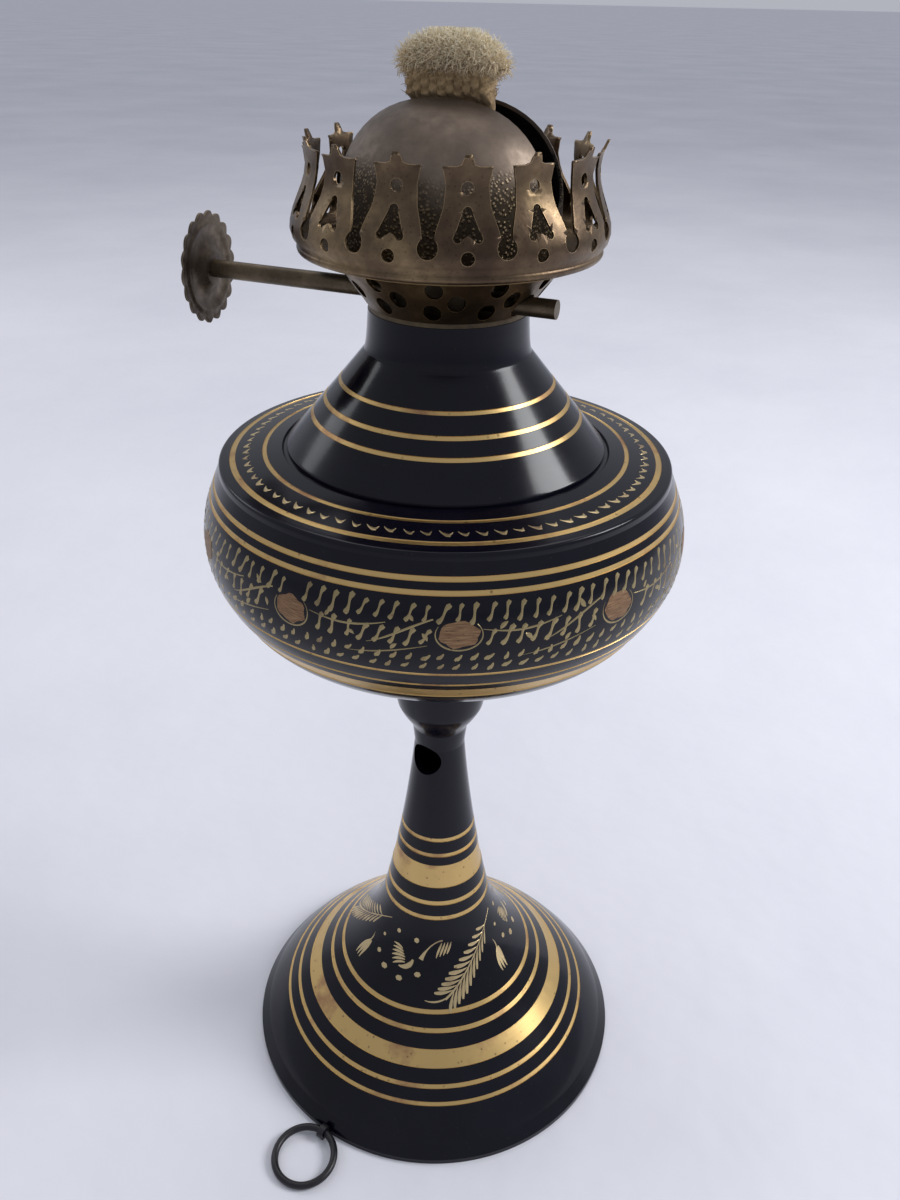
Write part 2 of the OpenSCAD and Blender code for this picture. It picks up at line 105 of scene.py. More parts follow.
world = bpy.data.worlds.new("daylight")
world.use_nodes = True
sky = world.node_tree.nodes["Background"]
sky.inputs["Color"].default_value = (0.80, 0.83, 0.92, 1)
sky.inputs["Strength"].default_value = 0.55
bpy.context.scene.world = world


def soft_lamp(name, azimuth, elevation, distance, size, power, colour=(1, 1, 1)):
    """A square lamp aimed at the middle of the object, placed by compass angle from the camera."""
    data = bpy.data.lights.new(name, "AREA")
    data.size = size
    data.energy = power
    data.color = colour
    lamp = bpy.data.objects.new(name, data)
    bpy.context.collection.objects.link(lamp)
    turn = CAMERA_AZIMUTH + math.radians(azimuth)
    rise = math.radians(elevation)
    target = Vector((0, 0, AIM_HEIGHT))
    lamp.location = target + distance * Vector((math.sin(turn) * math.cos(rise),
                                                -math.cos(turn) * math.cos(rise),
                                                math.sin(rise)))
    lamp.rotation_euler = (target - lamp.location).to_track_quat("-Z", "Y").to_euler()


soft_lamp("window_right", 90, 33, 1.1, 0.42, 7.5, (0.97, 0.98, 1.0))
soft_lamp("window_left", -120, 28, 1.2, 0.4, 1.2, (0.95, 0.97, 1.0))
soft_lamp("ceiling", 178, 66, 1.5, 1.1, 6, (1.0, 0.99, 0.98))
bpy.context.scene.view_settings.view_transform = "Standard"

# %% [markdown]
# ## Shared surface effects
# Four small shader groups are used again and again. The first gives a slow, cloudy change of
# tone, the second the fine rings that a lathe leaves, and the third fine pits and specks. The
# fourth finds edges with a bevel node, where the rounded normal leaves the true one; the edges it
# finds are lightened both as rubbed wear and as a painted highlight.

# %% Shader groups
def new_group(name, inputs, outputs):
    """A shader group with its inputs (label, kind, value) and outputs (label, kind)."""
    group = bpy.data.node_groups.new(name, "ShaderNodeTree")
    for label, kind, value in inputs:
        socket = group.interface.new_socket(label, in_out="INPUT", socket_type=kind)
        socket.default_value = value
    for label, kind in outputs:
        group.interface.new_socket(label, in_out="OUTPUT", socket_type=kind)
    start = group.nodes.new("NodeGroupInput")
    end = group.nodes.new("NodeGroupOutput")
    return group, start, end


def maths(tree, operation, first, second=None):
    """A Math node; each input is a number or a socket."""
    node = tree.nodes.new("ShaderNodeMath")
    node.operation = operation
    for index, value in enumerate((first, second)):
        if value is None:
            continue
        if isinstance(value, (int, float)):
            node.inputs[index].default_value = value
        else:
            tree.links.new(value, node.inputs[index])
    return node.outputs[0]


def make_clouds():
    group, start, end = new_group(
        "clouds",
        [("Scale", "NodeSocketFloat", 60.0), ("Low", "NodeSocketFloat", 0.35),
         ("High", "NodeSocketFloat", 0.65)],
        [("Mask", "NodeSocketFloat")])
    coords = group.nodes.new("ShaderNodeTexCoord")
    noise = group.nodes.new("ShaderNodeTexNoise")
    noise.inputs["Detail"].default_value = 6.0
    noise.inputs["Roughness"].default_value = 0.6
    remap = group.nodes.new("ShaderNodeMapRange")
    group.links.new(coords.outputs["Object"], noise.inputs["Vector"])
    group.links.new(start.outputs["Scale"], noise.inputs["Scale"])
    group.links.new(noise.outputs["Fac"], remap.inputs["Value"])
    group.links.new(start.outputs["Low"], remap.inputs["From Min"])
    group.links.new(start.outputs["High"], remap.inputs["From Max"])
    group.links.new(remap.outputs["Result"], end.inputs["Mask"])
    return group


def make_turning():
    """Fine rings round the Z axis: noise read only by height and radius."""
    group, start, end = new_group(
        "turning_lines", [("Scale", "NodeSocketFloat", 2500.0)], [("Height", "NodeSocketFloat")])
    coords = group.nodes.new("ShaderNodeTexCoord")
    split = group.nodes.new("ShaderNodeSeparateXYZ")
    group.links.new(coords.outputs["Object"], split.inputs[0])
    x2 = maths(group, "MULTIPLY", split.outputs["X"], split.outputs["X"])
    y2 = maths(group, "MULTIPLY", split.outputs["Y"], split.outputs["Y"])
    radius = maths(group, "SQRT", maths(group, "ADD", x2, y2))
    join = group.nodes.new("ShaderNodeCombineXYZ")
    group.links.new(radius, join.inputs["X"])
    group.links.new(split.outputs["Z"], join.inputs["Z"])
    noise = group.nodes.new("ShaderNodeTexNoise")
    noise.inputs["Detail"].default_value = 2.0
    group.links.new(join.outputs[0], noise.inputs["Vector"])
    group.links.new(start.outputs["Scale"], noise.inputs["Scale"])
    group.links.new(noise.outputs["Fac"], end.inputs["Height"])
    return group


def make_specks():
    group, start, end = new_group(
        "specks",
        [("Scale", "NodeSocketFloat", 900.0), ("Size", "NodeSocketFloat", 0.3)],
        [("Mask", "NodeSocketFloat"), ("Height", "NodeSocketFloat")])
    coords = group.nodes.new("ShaderNodeTexCoord")
    cells = group.nodes.new("ShaderNodeTexVoronoi")
    group.links.new(coords.outputs["Object"], cells.inputs["Vector"])
    group.links.new(start.outputs["Scale"], cells.inputs["Scale"])
    remap = group.nodes.new("ShaderNodeMapRange")
    remap.inputs["From Min"].default_value = 0.0
    remap.inputs["To Min"].default_value = 1.0
    remap.inputs["To Max"].default_value = 0.0
    group.links.new(cells.outputs["Distance"], remap.inputs["Value"])
    group.links.new(start.outputs["Size"], remap.inputs["From Max"])
    group.links.new(remap.outputs["Result"], end.inputs["Mask"])
    group.links.new(cells.outputs["Distance"], end.inputs["Height"])
    return group


def make_edge_wear_and_highlight():
    group, start, end = new_group(
        "edge_wear_and_highlight", [("Reach", "NodeSocketFloat", 0.00022)], [("Mask", "NodeSocketFloat")])
    # Edge mask for rubbed wear and for a painted highlight along the edges.
    rounded = group.nodes.new("ShaderNodeBevel")
    rounded.samples = 4
    true_normal = group.nodes.new("ShaderNodeNewGeometry")
    match = group.nodes.new("ShaderNodeVectorMath")
    match.operation = "DOT_PRODUCT"
    remap = group.nodes.new("ShaderNodeMapRange")
    remap.inputs["From Min"].default_value = 0.97
    remap.inputs["From Max"].default_value = 0.80
    group.links.new(start.outputs["Reach"], rounded.inputs["Radius"])
    group.links.new(rounded.outputs["Normal"], match.inputs[0])
    group.links.new(true_normal.outputs["Normal"], match.inputs[1])
    group.links.new(match.outputs["Value"], remap.inputs["Value"])
    group.links.new(remap.outputs["Result"], end.inputs["Mask"])
    return group


clouds = make_clouds()
turning = make_turning()
specks = make_specks()
edge_wear_and_highlight = make_edge_wear_and_highlight()
print("shader groups:", [g.name for g in bpy.data.node_groups])

# %% [markdown]
# ## Materials
# A material is built from one Principled shader. A small helper sets its fixed sockets directly,
# and others lay a colour ramp, a roughness range or a bump on top.

# %% Material helpers
MIX_FIRST, MIX_SECOND, MIX_RESULT = 6, 7, 2    # the Mix node's colour sockets


def start_material(name, **fixed):
    """A material, its tree and its shader. A fixed socket's name has _ for each space."""
    material = bpy.data.materials.new(name)
    material.use_nodes = True
    shader = material.node_tree.nodes["Principled BSDF"]
    for label, value in fixed.items():
        shader.inputs[label.replace("_", " ")].default_value = value
    return material, material.node_tree, shader


def use_group(tree, group, **values):
    node = tree.nodes.new("ShaderNodeGroup")
    node.node_tree = group
    for label, value in values.items():
        node.inputs[label].default_value = value
    return node


def ramp(tree, socket, stops):
    """A colour ramp: stops are (place, (r, g, b))."""
    node = tree.nodes.new("ShaderNodeValToRGB")
    bar = node.color_ramp.elements
    while len(bar) < len(stops):
        bar.new(0.5)
    for element, (place, colour) in zip(bar, stops):
        element.position = place
        element.color = (*colour, 1)
    tree.links.new(socket, node.inputs["Fac"])
    return node.outputs["Color"]


def spread(tree, socket, low, high):
    """A value from 0 to 1 spread between two others."""
    node = tree.nodes.new("ShaderNodeMapRange")
    node.inputs["To Min"].default_value = low
    node.inputs["To Max"].default_value = high
    tree.links.new(socket, node.inputs["Value"])
    return node.outputs["Result"]


def mix_colour(tree, mask, first, second):
    """The first colour, and the second where the mask is 1. Each is a tuple or a socket."""
    node = tree.nodes.new("ShaderNodeMix")
    node.data_type = "RGBA"
    tree.links.new(mask, node.inputs["Factor"])
    for index, value in ((MIX_FIRST, first), (MIX_SECOND, second)):
        if isinstance(value, tuple):
            node.inputs[index].default_value = (*value, 1)
        else:
            tree.links.new(value, node.inputs[index])
    return node.outputs[MIX_RESULT]


def bump(tree, shader, height, distance, strength=1.0, under=None):
    """Sets the shader's normal from a height, on top of another bump where one is given."""
    node = tree.nodes.new("ShaderNodeBump")
    node.inputs["Distance"].default_value = distance
    node.inputs["Strength"].default_value = strength
    tree.links.new(height, node.inputs["Height"])
    if under is not None:
        tree.links.new(under, node.inputs["Normal"])
    tree.links.new(node.outputs["Normal"], shader.inputs["Normal"])
    return node.outputs["Normal"]


print("material helpers are ready")

# %% [markdown]
# The lacquer is a thin black film, glossy but hazed by handling. The cuts show raw brass with the
# lathe's lines in it, pinkish where it has tarnished.

# %% Lacquer and cut brass
def make_lacquer():
    material, tree, shader = start_material(
        "black_lacquer", Specular_IOR_Level=0.22, Coat_Weight=0.06, Coat_Roughness=0.06)
    haze = use_group(tree, clouds, Scale=45.0, Low=0.35, High=0.7)
    dust = use_group(tree, specks, Scale=520.0, Size=0.10)
    film = ramp(tree, haze.outputs["Mask"],
                [(0.0, (0.0016, 0.0016, 0.0048)), (1.0, (0.0040, 0.0038, 0.0095))])
    colour = mix_colour(tree, dust.outputs["Mask"], film, (0.020, 0.017, 0.017))
    tree.links.new(colour, shader.inputs["Base Color"])
    tree.links.new(spread(tree, haze.outputs["Mask"], 0.12, 0.24), shader.inputs["Roughness"])
    lines = use_group(tree, turning, Scale=1400.0)
    bump(tree, shader, lines.outputs["Height"], 0.00002, 0.35)
    return material


def make_cut_brass(name, bright, dull):
    material, tree, shader = start_material(name, Metallic=1.0)
    tarnish = use_group(tree, clouds, Scale=75.0, Low=0.38, High=0.68)
    stain = use_group(tree, specks, Scale=420.0, Size=0.16)
    tone = ramp(tree, tarnish.outputs["Mask"], [(0.0, bright), (0.55, bright), (1.0, dull)])
    colour = mix_colour(tree, stain.outputs["Mask"], tone, (0.16, 0.09, 0.05))
    tree.links.new(colour, shader.inputs["Base Color"])
    tree.links.new(spread(tree, tarnish.outputs["Mask"], 0.30, 0.48), shader.inputs["Roughness"])
    lines = use_group(tree, turning, Scale=5200.0)
    bump(tree, shader, lines.outputs["Height"], 0.00004, 0.6)
    return material


lacquer = make_lacquer()
cut_brass = make_cut_brass("cut_brass", (0.64, 0.44, 0.18), (0.40, 0.23, 0.12))
engraved_brass = make_cut_brass("engraved_brass", (0.60, 0.47, 0.26), (0.34, 0.24, 0.15))
dull_brass = make_cut_brass("dull_brass", (0.34, 0.27, 0.14), (0.16, 0.11, 0.07))
print("lacquer and brass are ready")

# %% [markdown]
# The lamp stands on a pale cloth with wide, low folds: a soft bump, whose shade is also painted into
# the cloth's colour.

# %% Cloth for the floor
def make_cloth():
    material, tree, shader = start_material("white_cloth", Roughness=0.95)
    folds_and_painted_shade = use_group(tree, clouds, Scale=3.4, Low=0.30, High=0.70)
    # Painted shade and light: the fold mask makes the cloth's colour darker and lighter in soft
    # patches, as its folds would be lit.
    tone = ramp(tree, folds_and_painted_shade.outputs["Mask"],
                [(0.0, (0.70, 0.70, 0.76)), (1.0, (0.80, 0.80, 0.85))])
    tree.links.new(tone, shader.inputs["Base Color"])
    bump(tree, shader, folds_and_painted_shade.outputs["Mask"], 0.012, 0.20)
    return material


floor_mesh.materials.append(make_cloth())
print("floor:", floor_mesh.materials[0].name)

# %% [markdown]
# ## Turned pieces
# Foot, stem, cup and font are spun on a lathe, so their shape is one outline turned about Z. The
# outline follows a few curves, and a ring is cut by pressing a short stretch of it inwards by a
# tenth of a millimetre. The faces at the bottom of a cut get the brass.

# %% Outline helpers
CUT_DEPTH = 0.12 * MM
CUT_EDGE = 0.07 * MM


def curve(start, pull_start, pull_end, end, count=48):
    """Points on a cubic curve between two ends, as an array of radius and height."""
    t = np.linspace(0, 1, count)[:, None]
    a, b, c, d = (np.array(p, float) for p in (start, pull_start, pull_end, end))
    return (1 - t) ** 3 * a + 3 * (1 - t) ** 2 * t * b + 3 * (1 - t) * t ** 2 * c + t ** 3 * d


def joined(*stretches):
    """Stretches of outline end to end, without the doubled points."""
    points = np.vstack([np.atleast_2d(np.array(s, float)) for s in stretches])
    keep = np.r_[True, np.linalg.norm(np.diff(points, axis=0), axis=1) > 1e-7]
    return points[keep]


class Outline:
    """An outline measured along its length, so that cuts and engraving can be placed on it."""

    def __init__(self, points):
        self.points = points
        steps = np.linalg.norm(np.diff(points, axis=0), axis=1)
        self.run = np.r_[0, np.cumsum(steps)]
        self.length = self.run[-1]

    def at(self, run):
        return np.stack([np.interp(run, self.run, self.points[:, k]) for k in (0, 1)], axis=-1)

    def inwards(self, run):
        """Unit normal into the metal, for an outline that runs up with the metal on its left."""
        reach = 0.15 * MM
        along = self.at(np.minimum(run + reach, self.length)) - self.at(np.maximum(run - reach, 0))
        along /= np.linalg.norm(along, axis=-1, keepdims=True)
        return np.stack([-along[..., 1], along[..., 0]], axis=-1)

    def nearest(self, radius, height):
        run = np.linspace(0, self.length, 4000)
        gap = np.linalg.norm(self.at(run) - np.array([radius, height]), axis=1)
        return run[np.argmin(gap)]


def with_cuts(outline, cuts, step=0.55 * MM):
    """The outline sampled finely with its cuts pressed in, and which stretches are brass."""
    marks = [np.arange(0, outline.length, step), [outline.length], outline.run]
    for low, high in cuts:
        marks.append([low, low + CUT_EDGE, high - CUT_EDGE, high])
    run = np.unique(np.round(np.concatenate(marks), 8))
    deep = np.zeros_like(run)
    for low, high in cuts:
        inside = (run > low + CUT_EDGE / 2) & (run < high - CUT_EDGE / 2)
        deep[inside] = CUT_DEPTH
    points = outline.at(run) + deep[:, None] * outline.inwards(run)
    middle = (run[1:] + run[:-1]) / 2
    brass = np.zeros(len(middle), bool)
    for low, high in cuts:
        brass |= (middle > low) & (middle < high)
    return points, brass


def spin(name, loop, brass, steps=256, finish=(lacquer, cut_brass), crease=38):
    """Turns a closed outline about Z. brass flags the stretches that take the second finish."""
    count = len(loop)
    angle = np.arange(steps) * 2 * math.pi / steps
    radius, height = loop[:, 0], loop[:, 1]
    verts = np.empty((steps, count, 3))
    verts[..., 0] = radius * np.cos(angle)[:, None]
    verts[..., 1] = radius * np.sin(angle)[:, None]
    verts[..., 2] = height
    here = np.arange(count)
    after = (here + 1) % count
    faces = []
    for s in range(steps):
        a, b = s * count, ((s + 1) % steps) * count
        faces.append(np.stack([a + here, b + here, b + after, a + after], axis=1))
    mesh = bpy.data.meshes.new(name)
    mesh.from_pydata(verts.reshape(-1, 3).tolist(), [], np.vstack(faces).tolist())
    for material in finish:
        mesh.materials.append(material)
    flags = np.zeros(count, int)
    flags[:len(brass)] = brass
    mesh.polygons.foreach_set("material_index", np.tile(flags, steps).astype(np.int32))
    face_outwards(mesh)
    smooth(mesh, crease)
    return new_object(name, mesh)


def face_outwards(mesh):
    """Turns a closed mesh's faces out, by the sign of its volume."""
    work = bmesh.new()
    work.from_mesh(mesh)
    if work.calc_volume(signed=True) < 0:
        bmesh.ops.reverse_faces(work, faces=work.faces)
    work.to_mesh(mesh)
    work.free()


def smooth(mesh, crease=38):
    """Smooth shading, with an edge kept sharp where its faces turn by more than the crease."""
    mesh.polygons.foreach_set("use_smooth", [True] * len(mesh.polygons))
    mesh.set_sharp_from_angle(angle=math.radians(crease))
    mesh.update()


def thickness(outline, wall, count=40):
    """The inner side of a wall, as points from the outline's end back to its start."""
    run = np.linspace(outline.length * 0.985, outline.length * 0.02, count)
    return outline.at(run) + wall * outline.inwards(run)


def bands(outline, *places):
    """Cuts from (radius, height, width) in millimetres, each centred on its place."""
    cuts = []
    for radius, height, width in places:
        middle = outline.nearest(radius * MM, height * MM)
        cuts.append((middle - width * MM / 2, middle + width * MM / 2))
    return cuts


print("a cut is", round(CUT_DEPTH / MM, 2), "mm deep")

# %% [markdown]
# The foot is a bell with a bevelled rim: it swells out of the rim, then sweeps in to the stem.
# Its sizes are read off the frame. The rings are given by their radius, as a turner would.

# %% Foot
foot_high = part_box("foot_bell")[1]
stem_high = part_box("stem")[1]
FOOT_R = foot_high[0]
FOOT_TOP = foot_high[2]
STEM_FOOT_R = stem_high[0]
STEM_TOP = stem_high[2]
WALL = 1.6 * MM
RIM_W = 2.6 * MM
RIM_H = 4.2 * MM

foot_outline = Outline(joined(
    [(FOOT_R, 0), (FOOT_R, RIM_H / 3)],
    curve((FOOT_R - 2.2 * MM, RIM_H), (FOOT_R * 0.81, FOOT_TOP * 0.337),
          (STEM_FOOT_R * 1.33, FOOT_TOP * 0.59), (STEM_FOOT_R, FOOT_TOP), 90)))
foot_cuts = bands(foot_outline, (41.7, 11.9, 1.0), (38.7, 14.7, 1.1), (33.5, 18.7, 4.6),
                  (28.8, 23.6, 1.2), (25.4, 26.7, 1.2))
foot_skin, foot_brass = with_cuts(foot_outline, foot_cuts)
foot_inside = joined([(STEM_FOOT_R - WALL, FOOT_TOP)], thickness(foot_outline, WALL)[:-3],
                     [(FOOT_R - RIM_W, 0)])
foot = spin("turned_foot", np.vstack([foot_skin, foot_inside]), foot_brass)
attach(foot, "lamp")
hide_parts("foot_bell")
print("foot:", len(foot.data.polygons), "faces,", len(foot_cuts), "rings cut")

# %% [markdown]
# The stem is a hollow taper. Near its top a round hole goes through one wall, and is cut here
# with a boolean after the turning, in the way it would be drilled.

# %% Stem
STEM_NECK_R = 6.15 * MM
STEM_WALL = 1.8 * MM
STEM_END = 3.4 * MM
STUD_R = 2.5 * MM
SIDE_HOLE_R = 4.1 * MM
SIDE_HOLE_TURN = math.radians(-13)
STEM_H = STEM_TOP - FOOT_TOP

stem_outline = Outline(joined(
    curve((STEM_FOOT_R, FOOT_TOP), (STEM_FOOT_R * 0.75, FOOT_TOP + STEM_H * 0.285),
          (STEM_NECK_R * 1.24, FOOT_TOP + STEM_H * 0.6), (STEM_NECK_R, STEM_TOP - 5 * MM), 80),
    [(STEM_NECK_R + 0.55 * MM, STEM_TOP)]))
stem_cuts = bands(stem_outline, (13.75, 48.4, 1.2), (12.9, 52.8, 1.3), (11.2, 60.6, 6.8),
                  (10.0, 66.9, 1.1), (9.4, 71.4, 1.1))
stem_skin, stem_brass = with_cuts(stem_outline, stem_cuts)
bore_top = STEM_TOP - STEM_END
stem_inside = joined([(STUD_R, STEM_TOP), (STUD_R, bore_top), (STEM_NECK_R - STEM_WALL, bore_top)],
                     thickness(stem_outline, STEM_WALL)[4:], [(STEM_FOOT_R - WALL, FOOT_TOP)])
stem = spin("turned_stem", np.vstack([stem_skin, stem_inside]), stem_brass, steps=192)


def drill(piece, radius, start, direction, length):
    """Cuts a round hole by a boolean and keeps only the finished mesh."""
    bit_mesh = bpy.data.meshes.new("drill_bit")
    work = bmesh.new()
    bmesh.ops.create_cone(work, cap_ends=True, segments=64, radius1=radius, radius2=radius,
                          depth=length)
    aim = Vector(direction).normalized()
    turn = aim.to_track_quat("Z", "Y").to_matrix().to_4x4()
    work.transform(Matrix.Translation(Vector(start) + aim * length / 2) @ turn)
    work.to_mesh(bit_mesh)
    work.free()
    bit = new_object("drill_bit", bit_mesh)
    cut = piece.modifiers.new("drill", "BOOLEAN")
    cut.operation = "DIFFERENCE"
    cut.solver = "EXACT"
    cut.object = bit
    graph = bpy.context.evaluated_depsgraph_get()
    finished = bpy.data.meshes.new_from_object(piece.evaluated_get(graph))
    piece.modifiers.remove(cut)
    piece.data = finished
    bpy.data.objects.remove(bit)


hole_way = (math.sin(SIDE_HOLE_TURN), -math.cos(SIDE_HOLE_TURN), 0)
hole_height = bore_top - SIDE_HOLE_R - 0.5 * MM
drill(stem, SIDE_HOLE_R, Vector((0, 0, hole_height)) + Vector(hole_way) * MM, hole_way,
      2 * STEM_NECK_R)
smooth(stem.data, 40)
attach(stem, "lamp")
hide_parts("stem")
print("stem:", len(stem.data.polygons), "faces, side hole at", round(hole_height, 4), "m")

# %% [markdown]
# A small solid cup carries the font, with its stud through the middle.

# %% Cup
cup_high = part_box("stem_cup")[1]
SEAT_Z = cup_high[2]
SEAT_R = cup_high[0]
CUP_H = SEAT_Z - STEM_TOP
cup_foot_r = STEM_NECK_R + 0.55 * MM
cup_outline = Outline(joined(
    [(cup_foot_r, STEM_TOP)],
    curve((cup_foot_r + 0.1 * MM, STEM_TOP + 0.3 * MM), (cup_foot_r + 0.6 * MM, STEM_TOP + 1.8 * MM),
          (SEAT_R - 3.4 * MM, STEM_TOP + CUP_H * 0.16),
          (SEAT_R - 2.2 * MM, STEM_TOP + CUP_H * 0.3), 16),
    curve((SEAT_R - 2.2 * MM, STEM_TOP + CUP_H * 0.3), (SEAT_R - 1.6 * MM, STEM_TOP + CUP_H * 0.4),
          (SEAT_R - 1.0 * MM, STEM_TOP + CUP_H * 0.7), (SEAT_R, SEAT_Z), 20)))
cup_skin, cup_brass = with_cuts(cup_outline, [])
cup_inside = [(STUD_R + 0.2 * MM, SEAT_Z), (STUD_R + 0.2 * MM, STEM_TOP)]
cup = spin("turned_cup", np.vstack([cup_skin, cup_inside]), cup_brass, steps=128)
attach(cup, "lamp")
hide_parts("stem_cup")
print("cup:", len(cup.data.polygons), "faces")

# %% [markdown]
# The font is two shells. The lower one is a round-bellied bowl, which stands on the cup.

# %% Font bowl
bowl_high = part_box("font_bowl")[1]
top_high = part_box("font_top")[1]
FONT_R = bowl_high[0]
RIM_Z = bowl_high[2]
BROW_H = 14.6 * MM
BELLY_Z = RIM_Z - BROW_H
BELLY_H = BELLY_Z - SEAT_Z
RIM_R = 47.3 * MM
UNDER_IN = 6.4 * MM
UNDER_H = 17 * MM
UNDER_R = FONT_R - UNDER_IN
UNDER_Z = SEAT_Z + UNDER_H

bowl_outline = Outline(joined(
    curve((SEAT_R, SEAT_Z), (SEAT_R + UNDER_R * 0.24, SEAT_Z + UNDER_H * 0.3),
          (UNDER_R - UNDER_IN, UNDER_Z - UNDER_H * 0.45), (UNDER_R, UNDER_Z)),
    curve((UNDER_R, UNDER_Z), (UNDER_R + UNDER_IN / 2, UNDER_Z + UNDER_H * 0.26),
          (FONT_R, BELLY_Z - BELLY_H * 0.21), (FONT_R, BELLY_Z)),
    curve((FONT_R, BELLY_Z), (FONT_R, BELLY_Z + BROW_H * 0.41),
          (RIM_R + BROW_H * 0.11, RIM_Z - BROW_H * 0.28), (RIM_R, RIM_Z))))
bowl_cuts = bands(bowl_outline, (46.7, 143.5, 3.6), (48.7, 146.7, 0.6), (50.2, 150.0, 0.6),
                  (49.4, 166.5, 1.0), (48.5, 168.8, 1.0))
bowl_skin, bowl_brass = with_cuts(bowl_outline, bowl_cuts)
bowl_inside = joined([(RIM_R - WALL, RIM_Z)], thickness(bowl_outline, WALL),
                     [(SEAT_R - MM, SEAT_Z + WALL), (STUD_R + 0.2 * MM, SEAT_Z + WALL),
                      (STUD_R + 0.2 * MM, SEAT_Z)])
bowl = spin("turned_bowl", np.vstack([bowl_skin, bowl_inside]), bowl_brass, steps=280)
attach(bowl, "lamp")
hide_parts("font_bowl")
print("bowl:", len(bowl.data.polygons), "faces")

# %% [markdown]
# The upper shell has a nearly flat shoulder, a cone and a short neck. A dark step at the foot of
# the cone keeps the two surfaces apart to the eye.

# %% Font top
LID_EDGE_Z = RIM_Z + WALL
CONE_R = 33.5 * MM
CONE_Z = LID_EDGE_Z + 2 * MM
NECK_TOP = top_high[2]
NECK_Z = NECK_TOP - 8 * MM
NECK_FOOT_R = 16.8 * MM
NECK_R = 15.9 * MM
COLLAR_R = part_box("collar_ring")[1][0]
COLLAR_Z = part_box("collar_ring")[0][2]
slope = (CONE_R - NECK_FOOT_R) / (NECK_Z - CONE_Z)
flank = WALL * math.hypot(1, slope)

top_outline = Outline(joined(
    [(RIM_R, RIM_Z)],
    curve((RIM_R - 0.1 * MM, RIM_Z + 0.9 * MM), (RIM_R - 0.25 * MM, LID_EDGE_Z - 0.1 * MM),
          (RIM_R - 0.4 * MM, LID_EDGE_Z), (RIM_R - 1.1 * MM, LID_EDGE_Z + 0.05 * MM), 10),
    [(CONE_R + 0.6 * MM, CONE_Z - 0.05 * MM), (CONE_R + 0.25 * MM, CONE_Z - 0.45 * MM),
     (CONE_R - 0.35 * MM, CONE_Z - 0.35 * MM), (CONE_R - 0.45 * MM, CONE_Z + 0.5 * MM)],
    curve((CONE_R - 0.5 * MM, CONE_Z + 0.6 * MM), (CONE_R - 5.4 * MM, CONE_Z + 6.4 * MM),
          (NECK_FOOT_R + 5.0 * MM, NECK_Z - 6.2 * MM), (NECK_FOOT_R + 0.3 * MM, NECK_Z - 0.4 * MM),
          40),
    curve((NECK_FOOT_R, NECK_Z), (NECK_FOOT_R - 0.5 * MM, NECK_Z + 1.2 * MM),
          (NECK_R + 0.2 * MM, NECK_TOP - 3.4 * MM), (NECK_R, NECK_TOP), 16)))
top_cuts = bands(top_outline, (44.3, 173.5, 1.2), (37.7, 174.5, 0.9), (27.6, 182.2, 0.95),
                 (24.9, 185.4, 0.95), (21.8, 189.1, 0.85))
top_skin, top_brass = with_cuts(top_outline, top_cuts)
bore_low_z = min(COLLAR_Z, CONE_Z + (CONE_R - flank - COLLAR_R) / slope)
lip_r = RIM_R - WALL - 0.05 * MM
top_inside = [(COLLAR_R, NECK_TOP), (COLLAR_R, bore_low_z),
              (CONE_R + WALL * slope - flank, CONE_Z - WALL),
              (lip_r - 1.4 * MM, RIM_Z + 0.2 * MM), (lip_r - 1.4 * MM, RIM_Z - 2 * MM),
              (lip_r, RIM_Z - 2 * MM), (lip_r, RIM_Z)]
font_top = spin("turned_font_top", np.vstack([top_skin, top_inside]), top_brass, steps=320)
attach(font_top, "lamp")
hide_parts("font_top")
print("font top:", len(font_top.data.polygons), "faces")

# %% [markdown]
# ## Engraving
# Every engraved mark is a short stroke of a graver. A stroke is laid out flat in millimetres and
# has a low ridge along its middle, so its two sides catch the light differently, as the sides of
# a cut do. The flat strokes are then wrapped round the turned outline.

# %% Strokes
STROKE_RISE = 0.06 * MM
STROKE_SINK = 0.12 * MM
STROKE_SIDE = 0.01 * MM


def stroke(path, widths):
    """A closed sliver along a path, both in millimetres: its points and faces."""
    path = np.array(path, float) * MM
    half = np.interp(np.linspace(0, 1, len(path)), np.linspace(0, 1, len(widths)), widths) * MM / 2
    along = np.gradient(path, axis=0)
    along /= np.linalg.norm(along, axis=1, keepdims=True)
    side = np.stack([-along[:, 1], along[:, 0]], axis=1) * half[:, None]
    verts = np.zeros((len(path), 4, 3))
    verts[:, 0, :2] = path + side
    verts[:, 1, :2] = path
    verts[:, 2, :2] = path - side
    verts[:, 3, :2] = path
    verts[:, 0, 2] = STROKE_SIDE
    verts[:, 2, 2] = STROKE_SIDE
    verts[:, 1, 2] = STROKE_RISE
    verts[:, 3, 2] = -STROKE_SINK
    faces = [(0, 1, 2, 3)]
    for k in range(len(path) - 1):
        for j in range(4):
            a, b = 4 * k + j, 4 * k + (j + 1) % 4
            faces.append((a, a + 4, b + 4, b))
    last = 4 * (len(path) - 1)
    faces.append((last + 3, last + 2, last + 1, last))
    return verts.reshape(-1, 3), faces


def gathered(parts):
    """Many pieces of points and faces as one."""
    verts, faces, offset = [], [], 0
    for part_verts, part_faces in parts:
        verts.append(part_verts)
        faces += [tuple(i + offset for i in face) for face in part_faces]
        offset += len(part_verts)
    return np.vstack(verts), faces


def placed(part, x, y, turn=0.0, size=1.0):
    """A flat piece turned by degrees, scaled and moved by millimetres."""
    verts, faces = part
    c, s = math.cos(math.radians(turn)) * size, math.sin(math.radians(turn)) * size
    out = verts.copy()
    out[:, 0] = verts[:, 0] * c - verts[:, 1] * s + x * MM
    out[:, 1] = verts[:, 0] * s + verts[:, 1] * c + y * MM
    return out, faces


